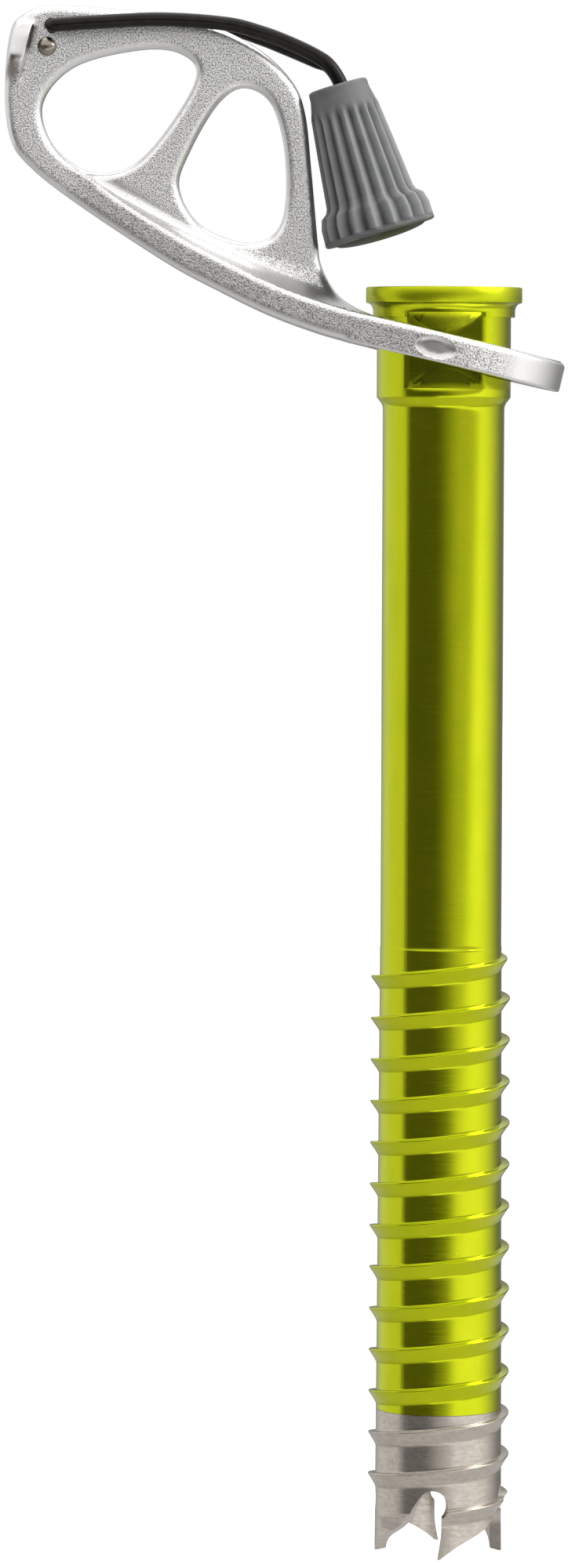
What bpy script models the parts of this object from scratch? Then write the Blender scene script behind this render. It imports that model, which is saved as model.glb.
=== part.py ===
"""Ice climbing screw with a rocking hanger and a folding crank handle.

The tube's axis is Z, with the origin where the head's lower shoulder meets the
shaft. +Z points out of the ice, +X points away from the hanger's tip, and +Y
points away from someone who sees the hanger on the left of the tube.
All sizes are millimetres. make_object turns them into metres.
"""
import math

import bmesh
import bpy
import numpy as np
from mathutils import Vector
from mathutils.geometry import delaunay_2d_cdt, tessellate_polygon

MM = 0.001

# Clearances
RUNNING_CLEARANCE = 0.10
FIT_CLEARANCE = 0.15
SEAT_GAP = 0.05

# Tube and head, heights measured from the head's lower shoulder
SEGMENTS = 36
SHAFT_RADIUS = 9.03
BORE_RADIUS = 7.30
BORE_CHAMFER = 0.50
FLANGE_RADIUS = 11.60
FLANGE_TOP = 16.40
FLANGE_THICKNESS = 2.35
FLANGE_EDGE = 0.25
COLLAR_STEP_BEVEL = 0.08
FLANGE_FILLET_STEP = 0.12
COLLAR_RADIUS = 10.55
COLLAR_BOTTOM = 12.00
HEAD_RADIUS = 9.95
SHOULDER_LENGTH = 1.50
SHOULDER_WAIST = (0.30, 0.45)
PLAIN_SHAFT_LENGTH = 81.70

# Rocking seat in the head
ROCK_HEIGHT = 7.00
SEAT_FLAT = 8.20
SEAT_HALF_GAP = 2.75
SEAT_FLARE = 1.64
SEAT_OVERCUT = 1.00
SEAT_SIDE_ROOM = 0.15
SEAT_CONE_ROOM = 3.00

# Thread, right-handed, square above and sloped below
PITCH = 6.22
THREAD_RUN_IN = 1.00
THREAD_TOP = -(PLAIN_SHAFT_LENGTH + THREAD_RUN_IN)
THREAD_TOP_ANGLE = 20.0
THREAD_ON_TUBE = 68.35
THREAD_END_MARGIN = 5.88
CREST_RADIUS = 10.37
TIP_CREST_RADIUS = 10.55
CREST_LAND = 0.25
CREST_ROLL = 0.02
FLANK_LENGTH = 1.80
RUN_OUT_ANGLE = 40.0
ROOT_RADIUS = 9.08
TIP_RADIUS = 9.48

# Steel cutting tip
TIP_JOINT = THREAD_TOP - THREAD_ON_TUBE
TIP_LENGTH = 21.50
THREAD_TURNS = (THREAD_ON_TUBE + TIP_LENGTH - THREAD_END_MARGIN) / PITCH
TIP_BORE_RADIUS = 7.80
SPIGOT_LENGTH = 9.00
SPIGOT_RADIUS = 8.15
SPIGOT_CHAMFER = 0.30
BORE_TAPER_LENGTH = 2.00
TOOTH_COUNT = 4
TOOTH_ANGLE = 268.4
TOOTH_BEVEL = 0.34
TOOTH_BEVEL_WIDTH = 1.30
GULLET_RADIUS = 2.25
GULLET_CENTRE = (-0.75, 8.00)
GULLET_FIRST = -50.0
GULLET_LAST = 145.0
GAP_FLOOR = -3.0

# Hanger, drawn level round the centre of its ring, then rocked
HANGER_TILT = 13.3
WEB_THICKNESS = 4.20
WEB_EDGE = 0.75
RING_HALF_LENGTH = 18.05
RING_HALF_DEPTH = 16.00
RING_HOLE_RADIUS = 11.00
RING_TOP = 2.40
RING_BOTTOM = -2.05
RING_THICKNESS = RING_TOP - RING_BOTTOM
RIB_END = -60.0
RIB_EDGE = 0.90
RIB_FILLET = 5.00
BOSS_HALF_WIDTH = 4.90
DIMPLE_CENTRE = -1.60
DIMPLE_HALF_WIDTH = 3.20
DIMPLE_HALF_HEIGHT = 1.75
DIMPLE_DEPTH = 0.35
HANGER_TIP = -73.45
LUG_RISE = 1.90
LUG_WIDTH = 3.40
LUG_TOP = 32.60
LUG_BOTTOM = 27.60
LUG_FADE = 4.50
LUG_WALL_BLEND = 0.35
LUG_ROOF_BLEND = 0.70
CUT_ROOM = 3.00

# Crank handle
PIVOT = (-67.68, 33.13)
WIRE_RADIUS = 1.05
WIRE_SIDES = 10
LEG_CLEARANCE = 0.25
LEG_SPREAD_AT_KNOB = 1.25
FOOT_BEND = 1.60
FOOT_GAP = 0.25
LOOP_CLEARANCE = 0.30
LEG_BLEND_START = -40.0
LEG_BLEND_LENGTH = 14.0
FAR_LEG_DIP = 0.70
RIVET_CENTRE = (-67.71, 29.98)
RIVET_RADIUS = 0.90
RIVET_HEAD_RADIUS = 1.40
RIVET_HEAD_RISE = 0.75

# Knob, drawn along its own axis from the narrow end
KNOB_TOP = (-24.63, 34.53)
KNOB_LEAN = 29.9
KNOB_LENGTH = 22.95
KNOB_SIDES = 24
KNOB_COLLAR_LENGTH = 2.90
KNOB_COLLAR_RADIUS = 4.45
KNOB_WAIST_RADIUS = 5.20
KNOB_SKIRT_RADIUS = 6.70
KNOB_RIM_RADIUS = 8.45
KNOB_RIM_HEIGHT = 4.85
KNOB_TOP_EDGE = 0.40
KNOB_END_BAND = 1.30
KNOB_END_ROUND = 0.60
FLUTE_COUNT = 18
FLUTE_DEPTH = 0.55
RIM_FLUTE_DEPTH = 0.75
FLUTE_RISE = 2.40
FLUTE_PHASE = 6.0
CORE_RADIUS = 3.00
CORE_BORE_RADIUS = 2.45
CORE_TOP = 0.40
CORE_LENGTH = 17.20
CORE_BORE_DEPTH = 14.80
CORE_CHAMFER = 0.40
GRIP_SHOULDER = 15.50
CAVITY_RADIUS = 5.00
CLIP_THICKNESS = 0.60
CLIP_SET_BACK = 0.25
CLIP_HALF_OPENING = 35.0
CLIP_OUTER_RADIUS = 4.20
GROOVE_RADIUS = 2.30
CAP_RADIUS = 6.80
CAP_SEAT_DEPTH = 1.00
CAP_DOME = 0.90
CAP_SPIGOT_LENGTH = 1.50
CAP_CHAMFER = 0.20

# Side view of the hanger: (along, up) from the ring's centre
WEB_TOP_EDGE = [
    (-14.4, 3.1), (-17.6, 4.6), (-20.6, 7.9), (-22.0, 11.3), (-25.3, 21.1), (-28.3, 29.4), (-31.5, 33.7),
    (-37.9, 37.2), (-46.1, 38.8), (-55.9, 38.1), (-64.7, 36.9),
]
WEB_TIP = [(-69.5, 35.7), (-72.5, 33.5), (HANGER_TIP, 30.5), (-72.3, 22.2)]
WEB_BOTTOM_EDGE = [
    (-69.9, 15.5), (-66.3, 12.2), (-58.3, 8.5), (-43.3, 3.1), (-35.0, 0.9), (-26.7, -0.9), (-19.3, -1.8),
]
RING_NECK = -11.0
RING_LEFT = -14.0
TIP_EYE = [
    (-66.4, 21.7), (-63.0, 28.1), (-54.3, 32.7), (-48.3, 33.6), (-45.2, 30.8), (-47.7, 22.1), (-51.6, 15.7),
    (-57.3, 13.5), (-63.5, 16.1),
]
INNER_EYE = [
    (-37.9, 30.9), (-41.1, 27.7), (-43.5, 20.0), (-43.8, 14.2), (-39.1, 9.5), (-31.3, 8.9), (-27.9, 13.0),
    (-29.6, 22.2), (-33.4, 29.4),
]

# One tooth, unrolled from its point: (along the rim, height above the point)
TOOTH_FACE = [(0.0, 0.0), (0.62, 3.30), (0.68, 6.00)]
TOOTH_BACK = [(0.35, 0.0), (1.7, 1.0), (4.0, 2.4), (8.0, 4.2), (9.9, 5.7), (11.2, 7.8)]

# Rows of points that shape the rib, the lug and the crimp mark
EDGE_ROWS = (35.0, 62.0, 90.0)
RIM_ROWS = (-3.6, -2.2, -0.8, -0.3, 0.0, 0.15, 0.5, 1.1, 2.0, 3.2, 4.7)
LUG_COLUMNS = (-1.6, -0.2, 0.2)
LUG_LOWER_ROWS = (-LUG_FADE, -2.6, -1.0, 1.0)
LUG_UPPER_ROWS = (-0.4, 0.4)
DIMPLE_ROWS = (1.0, 0.92, 0.55)
LEAST_SPACING = 0.12

# Where the hairpin enters the knob: (across, along) on the knob's axis
KNOB_ENTRY = [(0.55, 0.2), (0.15, 2.8), (0.0, 6.0)]

# Grip's outline down its axis: how far each change of radius lies from the rim
SKIRT_FLARE = ((-0.9, 0.0), (-0.2, 0.3))
RIM_SWELL = ((0.5, -0.55), (2.0, -0.10))

# Near leg of the hairpin: (along, up) from the ring's centre
NEAR_LEG = [
    (-62.0, 34.9), (-52.2, 37.7), (-42.8, 39.3), (-37.6, 39.3), (-33.0, 38.8), (-28.6, 37.9), (-26.3, 36.9),
]


def material(name, colour, roughness, metallic):
    """Make a plain Principled material."""
    result = bpy.data.materials.new(name)
    result.use_nodes = True
    shader = result.node_tree.nodes["Principled BSDF"]
    shader.inputs["Base Color"].default_value = (*colour, 1.0)
    shader.inputs["Roughness"].default_value = roughness
    shader.inputs["Metallic"].default_value = metallic
    return result


def make_object(name, points, faces, finish=None, parent=None, smooth=35.0):
    """Make a closed mesh object from points in millimetres."""
    mesh = bpy.data.meshes.new(name)
    mesh.from_pydata([Vector(p) * MM for p in points], [], faces)
    work = bmesh.new()
    work.from_mesh(mesh)
    bmesh.ops.recalc_face_normals(work, faces=work.faces)
    if work.calc_volume(signed=True) < 0.0:
        bmesh.ops.reverse_faces(work, faces=work.faces)
    work.to_mesh(mesh)
    work.free()
    mesh.shade_smooth()
    mesh.set_sharp_from_angle(angle=math.radians(smooth))
    result = bpy.data.objects.new(name, mesh)
    bpy.context.scene.collection.objects.link(result)
    if finish is not None:
        mesh.materials.append(finish)
    if parent is not None:
        result.parent = parent
    return result


def make_axis(name, place, lean=0.0, parent=None):
    """Make an empty on a joint's axis; lean turns it about Y, in degrees."""
    empty = bpy.data.objects.new(name, None)
    bpy.context.scene.collection.objects.link(empty)
    empty.empty_display_size = 0.01
    empty.location = Vector(place) * MM
    empty.rotation_euler = (0.0, math.radians(lean), 0.0)
    empty.parent = parent
    return empty


def combine(target, other, operation, name):
    """Add a Boolean modifier and mark the other object as a cutter."""
    other.hide_render = True
    other.display_type = "WIRE"
    change = target.modifiers.new(name, "BOOLEAN")
    change.operation = operation
    change.solver = "EXACT"
    change.object = other


def ring(radius, height, start=0.0, count=SEGMENTS):
    """Points of a level circle, anticlockwise from above."""
    angles = [math.radians(start) + math.tau * i / count for i in range(count)]
    return [(radius * math.cos(a), radius * math.sin(a), height) for a in angles]


def lathe(profile, count=SEGMENTS, start=0.0):
    """Turn (radius, height) pairs about Z into a closed solid with flat ends."""
    points = []
    for radius, height in profile:
        points += ring(radius, height, start, count)
    faces = []
    for row in range(len(profile) - 1):
        for i in range(count):
            j = (i + 1) % count
            faces.append((row * count + i, row * count + j, (row + 1) * count + j, (row + 1) * count + i))
    faces.append(tuple(range(count)))
    faces.append(tuple(range((len(profile) - 1) * count, len(profile) * count)))
    return points, faces


def arc(centre, radius, first, last, steps):
    """Points along an arc between two angles in degrees, ends included."""
    angles = [math.radians(first + (last - first) * i / steps) for i in range(steps + 1)]
    return [(centre[0] + radius * math.cos(a), centre[1] + radius * math.sin(a)) for a in angles]


def curve_through(points, steps, closed=False):
    """Sample a smooth Catmull-Rom curve through points of any dimension."""
    pts = [np.array(p, dtype=float) for p in points]
    count = len(pts)
    result = []
    spans = count if closed else count - 1
    for i in range(spans):
        before = pts[i - 1] if closed or i > 0 else 2 * pts[0] - pts[1]
        after = pts[(i + 2) % count] if closed or i + 2 < count else 2 * pts[-1] - pts[-2]
        here = pts[i]
        there = pts[(i + 1) % count]
        for step in range(steps):
            t = step / steps
            value = 2 * here + (there - before) * t
            value += (2 * before - 5 * here + 4 * there - after) * t ** 2
            value += (3 * here - before - 3 * there + after) * t ** 3
            result.append(value / 2)
    if not closed:
        result.append(pts[-1])
    return result


def thread_radii(height):
    """Root and crest radius of the thread, which grow a little towards the teeth."""
    share = (THREAD_TOP - height) / (THREAD_TOP - TIP_JOINT + TIP_LENGTH)
    share = min(max(share, 0.0), 1.0)
    root = ROOT_RADIUS + (TIP_RADIUS - ROOT_RADIUS) * share
    return root, CREST_RADIUS + (TIP_CREST_RADIUS - CREST_RADIUS) * share


def threaded_skin(profile_above, bottom):
    """Outer skin of the screw: turned rings, then one strip wound as the thread.

    Each step of the strip has four points: the foot of the square upper flank,
    the crest, the end of the crest's land and the foot of the sloped flank.
    """
    steps = round(THREAD_TURNS * SEGMENTS)
    run_out = RUN_OUT_ANGLE / 360.0 * SEGMENTS
    points = []
    faces = []
    turn = [THREAD_TOP_ANGLE - 360.0 * i / SEGMENTS for i in range(steps + 1)]
    for radius, height in profile_above:
        for i in range(SEGMENTS):
            a = math.radians(turn[i])
            points.append((radius * math.cos(a), radius * math.sin(a), height))
    for row in range(len(profile_above) - 1):
        here, below = row * SEGMENTS, (row + 1) * SEGMENTS
        for i in range(SEGMENTS):
            j = (i + 1) % SEGMENTS
            faces.append((here + i, here + j, below + j, below + i))
    faces.append(tuple(range(SEGMENTS)))
    upper = len(points) - SEGMENTS
    strip = len(points)
    drops = (0.0, 0.0, CREST_LAND, CREST_LAND + FLANK_LENGTH)
    for i in range(steps + 1):
        a = math.radians(turn[i])
        rise = min(1.0, i / run_out, (steps - i) / run_out)
        for column, drop in enumerate(drops):
            height = THREAD_TOP - PITCH * i / SEGMENTS - drop
            radius, crest = thread_radii(height)
            if column in (1, 2):
                radius += (crest - radius) * rise
            if column == 1:
                height -= CREST_ROLL
            points.append((radius * math.cos(a), radius * math.sin(a), height))

    def at(i, column):
        return strip + 4 * i + column

    for i in range(steps):
        for column in range(3):
            faces.append((at(i, column), at(i + 1, column), at(i + 1, column + 1), at(i, column + 1)))
    for i in range(steps - SEGMENTS):
        faces.append((at(i, 3), at(i + 1, 3), at(i + SEGMENTS + 1, 0), at(i + SEGMENTS, 0)))
    for i in range(SEGMENTS - 1):
        faces.append((upper + i, upper + i + 1, at(i + 1, 0), at(i, 0)))
    last = SEGMENTS - 1
    faces.append((upper + last, upper, at(0, 0), at(0, 1), at(0, 2), at(0, 3), at(SEGMENTS, 0), at(last, 0)))

    lower = len(points)
    for i in range(SEGMENTS):
        a = math.radians(turn[steps - SEGMENTS + i])
        radius = thread_radii(bottom)[0]
        points.append((radius * math.cos(a), radius * math.sin(a), bottom))
    first = steps - SEGMENTS
    faces.append((
        at(first, 3), at(first + 1, 3), lower + 1, lower,
        at(steps, 3), at(steps, 2), at(steps, 1), at(steps, 0),
    ))
    for i in range(1, SEGMENTS):
        j = (i + 1) % SEGMENTS
        faces.append((at(first + i, 3), at(first + i + 1, 3), lower + j, lower + i))
    faces.append(tuple(range(lower, lower + SEGMENTS)))
    return points, faces


def cut_level(target, height, keep_above):
    """Cut a solid mesh at a level plane and close it with one flat face."""
    work = bmesh.new()
    work.from_mesh(target.data)
    everything = list(work.verts) + list(work.edges) + list(work.faces)
    cut = bmesh.ops.bisect_plane(
        work, geom=everything, dist=1e-8, plane_co=(0.0, 0.0, height * MM), plane_no=(0.0, 0.0, 1.0),
        clear_inner=keep_above, clear_outer=not keep_above,
    )
    edges = [item for item in cut["geom_cut"] if isinstance(item, bmesh.types.BMEdge)]
    bmesh.ops.contextual_create(work, geom=edges)
    bmesh.ops.recalc_face_normals(work, faces=work.faces)
    work.to_mesh(target.data)
    work.free()


def head_profile():
    """Half section of the flange, collar, head and plain shaft, top first."""
    under = FLANGE_TOP - FLANGE_THICKNESS
    fillet = FLANGE_RADIUS - COLLAR_RADIUS - FLANGE_FILLET_STEP
    waist = SHAFT_RADIUS + SHOULDER_WAIST[0] * (HEAD_RADIUS - SHAFT_RADIUS)
    profile = [
        (FLANGE_RADIUS - FLANGE_EDGE, FLANGE_TOP),
        (FLANGE_RADIUS, FLANGE_TOP - FLANGE_EDGE),
        (FLANGE_RADIUS, under + FLANGE_FILLET_STEP),
    ]
    profile += arc((COLLAR_RADIUS + fillet, under - fillet), fillet, 90.0, 180.0, 4)
    profile += [
        (COLLAR_RADIUS, COLLAR_BOTTOM),
        (HEAD_RADIUS, COLLAR_BOTTOM - COLLAR_STEP_BEVEL),
        (HEAD_RADIUS, 0.0),
        (waist, -SHOULDER_WAIST[1] * SHOULDER_LENGTH),
        (SHAFT_RADIUS, -SHOULDER_LENGTH),
        (SHAFT_RADIUS, -PLAIN_SHAFT_LENGTH),
        (ROOT_RADIUS, -PLAIN_SHAFT_LENGTH - 0.10),
    ]
    return profile


def build_tube(finish):
    """Aluminium tube: flange, rocking seat, plain shaft and most of the thread."""
    points, faces = threaded_skin(head_profile(), TIP_JOINT - TIP_LENGTH)
    tube = make_object("tube", points, faces, finish)
    cut_level(tube, TIP_JOINT, keep_above=True)
    bore = make_object("bore_cutter", *lathe([
        (BORE_RADIUS + BORE_CHAMFER + 1.0, FLANGE_TOP + 1.0),
        (BORE_RADIUS, FLANGE_TOP - BORE_CHAMFER),
        (BORE_RADIUS, TIP_JOINT + SPIGOT_LENGTH + FIT_CLEARANCE),
        (SPIGOT_RADIUS + FIT_CLEARANCE, TIP_JOINT + SPIGOT_LENGTH + FIT_CLEARANCE),
        (SPIGOT_RADIUS + FIT_CLEARANCE, TIP_JOINT - 1.0),
    ]))
    combine(tube, bore, "DIFFERENCE", "bore")
    for side, name in ((-1.0, "near"), (1.0, "far")):
        combine(tube, seat_cutter(side, name), "DIFFERENCE", name + "_seat")
    return tube


def seat_cutter(side, name):
    """Block beyond the seat's flat, less the double cone that rounds its walls."""
    reach = COLLAR_RADIUS + SEAT_OVERCUT
    tall = SEAT_HALF_GAP + (HEAD_RADIUS - SEAT_FLAT) * SEAT_FLARE
    width = math.sqrt(HEAD_RADIUS ** 2 - SEAT_FLAT ** 2) + SEAT_SIDE_ROOM
    corners = []
    for z in (ROCK_HEIGHT - tall, ROCK_HEIGHT + tall):
        for x, y in ((-width, SEAT_FLAT), (width, SEAT_FLAT), (width, reach), (-width, reach)):
            corners.append((x, side * y, z))
    block = make_object("seat_block_" + name, corners, box_faces(2))
    wide = reach + SEAT_CONE_ROOM
    half_gap = SEAT_HALF_GAP + (wide - SEAT_FLAT) * SEAT_FLARE
    cone = [
        (wide, ROCK_HEIGHT + half_gap), (SEAT_FLAT, ROCK_HEIGHT + SEAT_HALF_GAP),
        (SEAT_FLAT, ROCK_HEIGHT - SEAT_HALF_GAP), (wide, ROCK_HEIGHT - half_gap),
    ]
    waist = make_object("seat_waist_" + name, *lathe(cone, count=2 * SEGMENTS))
    combine(block, waist, "DIFFERENCE", "waist")
    return block


def box_faces(rows):
    """Faces of a stack of four-cornered rows, closed at both ends."""
    faces = [(0, 1, 2, 3), tuple(range(4 * rows - 4, 4 * rows))]
    for row in range(rows - 1):
        for i in range(4):
            j = (i + 1) % 4
            faces.append((4 * row + i, 4 * row + j, 4 * row + 4 + j, 4 * row + 4 + i))
    return faces


def tooth_gap_outline():
    """One gap of the crown, unrolled, from the face of one tooth to the back of the next."""
    quarter = math.tau * TIP_RADIUS / TOOTH_COUNT
    outline = [(0.0, GAP_FLOOR)] + TOOTH_FACE
    outline += arc(GULLET_CENTRE, GULLET_RADIUS, GULLET_FIRST, GULLET_LAST, 9)
    outline += [(along - quarter, height) for along, height in reversed(curve_through(TOOTH_BACK, 3))]
    heel = TOOTH_BACK[0][0] - quarter
    outline.append((heel, GAP_FLOOR))
    steps = 8
    outline += [(heel * (1 - step / steps), GAP_FLOOR) for step in range(1, steps)]
    return outline


def wrapped_prism(outline, angle, base):
    """Wrap an unrolled outline round the tip and thicken it both ways.

    The middle ring lies on the tip's own surface, where the outline is exact.
    The outer ring is far enough out for its flat facets to clear the thread.
    """
    count = len(outline)
    points = []
    for radius in (0.5 * TIP_BORE_RADIUS, TIP_RADIUS, 2.0 * TIP_CREST_RADIUS):
        for along, height in outline:
            a = math.radians(angle) + along / TIP_RADIUS
            points.append((radius * math.cos(a), radius * math.sin(a), base + height))
    flat = [Vector((along, height, 0.0)) for along, height in outline]
    triangles = tessellate_polygon([flat])
    faces = [tuple(t) for t in triangles]
    faces += [tuple(2 * count + i for i in reversed(t)) for t in triangles]
    for first in (0, count):
        for i in range(count):
            j = (i + 1) % count
            faces.append((first + i, first + j, first + count + j, first + count + i))
    return points, faces


def build_tip(finish):
    """Steel crown: the thread runs onto it and four teeth are cut from its rim."""
    end = TIP_JOINT - TIP_LENGTH
    points, faces = threaded_skin([(ROOT_RADIUS, THREAD_TOP + 1.0)], end)
    tip = make_object("cutter_tip", points, faces, finish)
    cut_level(tip, TIP_JOINT - SEAT_GAP, keep_above=False)
    spigot = make_object("spigot", *lathe([
        (SPIGOT_RADIUS - SPIGOT_CHAMFER, TIP_JOINT + SPIGOT_LENGTH - SEAT_GAP),
        (SPIGOT_RADIUS, TIP_JOINT + SPIGOT_LENGTH - SEAT_GAP - SPIGOT_CHAMFER),
        (SPIGOT_RADIUS, TIP_JOINT - BORE_TAPER_LENGTH),
    ]))
    combine(tip, spigot, "UNION", "spigot")
    bore = make_object("tip_bore_cutter", *lathe([
        (BORE_RADIUS, TIP_JOINT + SPIGOT_LENGTH + 1.0),
        (BORE_RADIUS, TIP_JOINT),
        (TIP_BORE_RADIUS, TIP_JOINT - BORE_TAPER_LENGTH),
        (TIP_BORE_RADIUS, end + TOOTH_BEVEL),
        (TIP_BORE_RADIUS + TOOTH_BEVEL_WIDTH * (1.0 + 1.0 / TOOTH_BEVEL), end - 1.0),
    ]))
    combine(tip, bore, "DIFFERENCE", "bore")
    for tooth in range(TOOTH_COUNT):
        angle = TOOTH_ANGLE + 360.0 * tooth / TOOTH_COUNT
        gap = make_object(f"tooth_gap_{tooth}", *wrapped_prism(tooth_gap_outline(), angle, end))
        combine(tip, gap, "DIFFERENCE", f"tooth_gap_{tooth}")
    return tip


def tangent_station():
    """Where the rib's straight plan edge leaves the ring's ellipse.

    The ellipse is stretched to a circle, and the tangent is drawn to it from
    the rib's far end.
    """
    stretch = RING_HALF_LENGTH / RING_HALF_DEPTH
    far_depth = 0.5 * WEB_THICKNESS * stretch
    distance = math.hypot(RIB_END, far_depth)
    toward = math.atan2(far_depth, RIB_END)
    opening = math.acos(RING_HALF_LENGTH / distance)
    angle = toward - opening
    return RING_HALF_LENGTH * math.cos(angle), RING_HALF_LENGTH * math.sin(angle) / stretch


def plan_depth(along):
    """Half depth of ring and rib at a station, seen from above."""
    station, depth = tangent_station()
    ellipse = RING_HALF_DEPTH * np.sqrt(np.clip(1.0 - (along / RING_HALF_LENGTH) ** 2, 0.0, 1.0))
    share = (along - RIB_END) / (station - RIB_END)
    straight = 0.5 * WEB_THICKNESS + (depth - 0.5 * WEB_THICKNESS) * share
    return np.where(along > station, ellipse, np.maximum(straight, 0.5 * WEB_THICKNESS))


def hanger_outline():
    """Side outline of the hanger, anticlockwise, as one array of points."""
    end = RING_HALF_LENGTH * math.cos(math.radians(6.0))
    right = [(RING_HALF_LENGTH * math.cos(math.radians(a)), RING_TOP) for a in range(18, 90, 12)]
    top = [(end, RING_TOP)] + right + [(0.5 * RING_NECK, RING_TOP)]
    free = [(RING_NECK, RING_TOP)] + WEB_TOP_EDGE + WEB_TIP + WEB_BOTTOM_EDGE + [(RING_LEFT, RING_BOTTOM)]
    lower = [(RING_HALF_LENGTH * math.cos(math.radians(a)), RING_BOTTOM) for a in range(78, 0, -12)]
    bottom = [(0.5 * RING_LEFT, RING_BOTTOM)] + lower + [(end, RING_BOTTOM)]
    return np.array(top + [tuple(p) for p in curve_through(free, 3)] + bottom)


def inside(points, polygon):
    """Even-odd test of many points against one polygon."""
    x, y = points[:, 0:1], points[:, 1:2]
    ax, ay = polygon[:, 0], polygon[:, 1]
    bx, by = np.roll(ax, -1), np.roll(ay, -1)
    crosses = (ay > y) != (by > y)
    where = (bx - ax) * (y - ay) / np.where(by == ay, 1e-12, by - ay) + ax
    return (np.sum(crosses & (x < where), axis=1) % 2) == 1


def distance_to(points, polygon, closed=True):
    """Least distance from each point to a polygon's edges."""
    start = polygon if closed else polygon[:-1]
    stop = np.roll(polygon, -1, axis=0) if closed else polygon[1:]
    run = stop - start
    length = np.maximum(np.sum(run ** 2, axis=1), 1e-12)
    offset = points[:, None, :] - start[None, :, :]
    share = np.clip(np.sum(offset * run, axis=2) / length, 0.0, 1.0)
    gap = offset - share[:, :, None] * run[None, :, :]
    return np.min(np.sqrt(np.sum(gap ** 2, axis=2)), axis=1)


def bottom_height(along):
    """Height of the hanger's lower edge at a station."""
    edge = [(RING_HALF_LENGTH, RING_BOTTOM), (RING_LEFT, RING_BOTTOM)]
    edge += list(reversed(WEB_BOTTOM_EDGE))
    smooth = np.array([edge[0]] + [tuple(p) for p in curve_through(edge[1:], 3)])
    order = np.argsort(smooth[:, 0])
    return np.interp(along, smooth[order, 0], smooth[order, 1])


def rounded(distance, radius):
    """How far a rounded edge falls below the flat at a distance from the edge."""
    inner = np.clip(radius - distance, 0.0, radius)
    return radius - np.sqrt(np.maximum(radius ** 2 - inner ** 2, 0.0))


def hanger_half_depth(points, outline, eyes):
    """Half depth of the forging over its side view.

    The web is flat. Below it the rib and the ring stand out to the plan depth,
    and a quarter ellipse joins rib to web. The tip carries a lug, and every
    edge is rounded.
    """
    along, up = points[:, 0], points[:, 1]
    web = 0.5 * WEB_THICKNESS
    plan = plan_depth(along)
    spare = plan - web
    edge = np.minimum(RIB_EDGE, 0.5 * spare + 1e-6)
    rise = np.minimum(RIB_FILLET, 0.45 * spare + 0.8)
    above = up - bottom_height(along) - RING_THICKNESS
    share = np.clip(1.0 - above / rise, 0.0, 1.0)
    fillet = web + np.maximum(plan - edge - web, 0.0) * (1.0 - np.sqrt(1.0 - share ** 2))
    rim = plan - rounded(-above, edge)
    depth = np.where(above < 0.0, rim, fillet)
    dent = 1.0 - ((along - DIMPLE_CENTRE) / DIMPLE_HALF_WIDTH) ** 2 - (up / DIMPLE_HALF_HEIGHT) ** 2
    depth = depth - DIMPLE_DEPTH * np.sqrt(np.clip(dent, 0.0, 1.0))
    wall = np.clip((HANGER_TIP + LUG_WIDTH - along) / LUG_WALL_BLEND + 0.5, 0.0, 1.0)
    roof = np.clip((LUG_TOP - up) / LUG_ROOF_BLEND + 0.5, 0.0, 1.0)
    fade = np.clip((up - LUG_BOTTOM) / LUG_FADE + 1.0, 0.0, 1.0)
    depth = depth + LUG_RISE * wall * roof * (3 * fade ** 2 - 2 * fade ** 3)
    sides = outline[:, 0] < RING_HALF_LENGTH * math.cos(math.radians(7.0))
    start = int(np.argmax(sides))
    away = distance_to(points, outline[start - 1:start + int(sides.sum()) + 1], closed=False)
    for eye in eyes:
        away = np.minimum(away, distance_to(points, eye))
    drop = rounded(away, WEB_EDGE)
    return np.maximum(depth - drop, 0.35 * depth)


def offset_inward(polygon, amount):
    """Move each point of an anticlockwise polygon inwards by an amount."""
    run = np.roll(polygon, -1, axis=0) - np.roll(polygon, 1, axis=0)
    normal = np.stack([-run[:, 1], run[:, 0]], axis=1)
    normal /= np.linalg.norm(normal, axis=1, keepdims=True)
    return polygon + amount * normal


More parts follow.
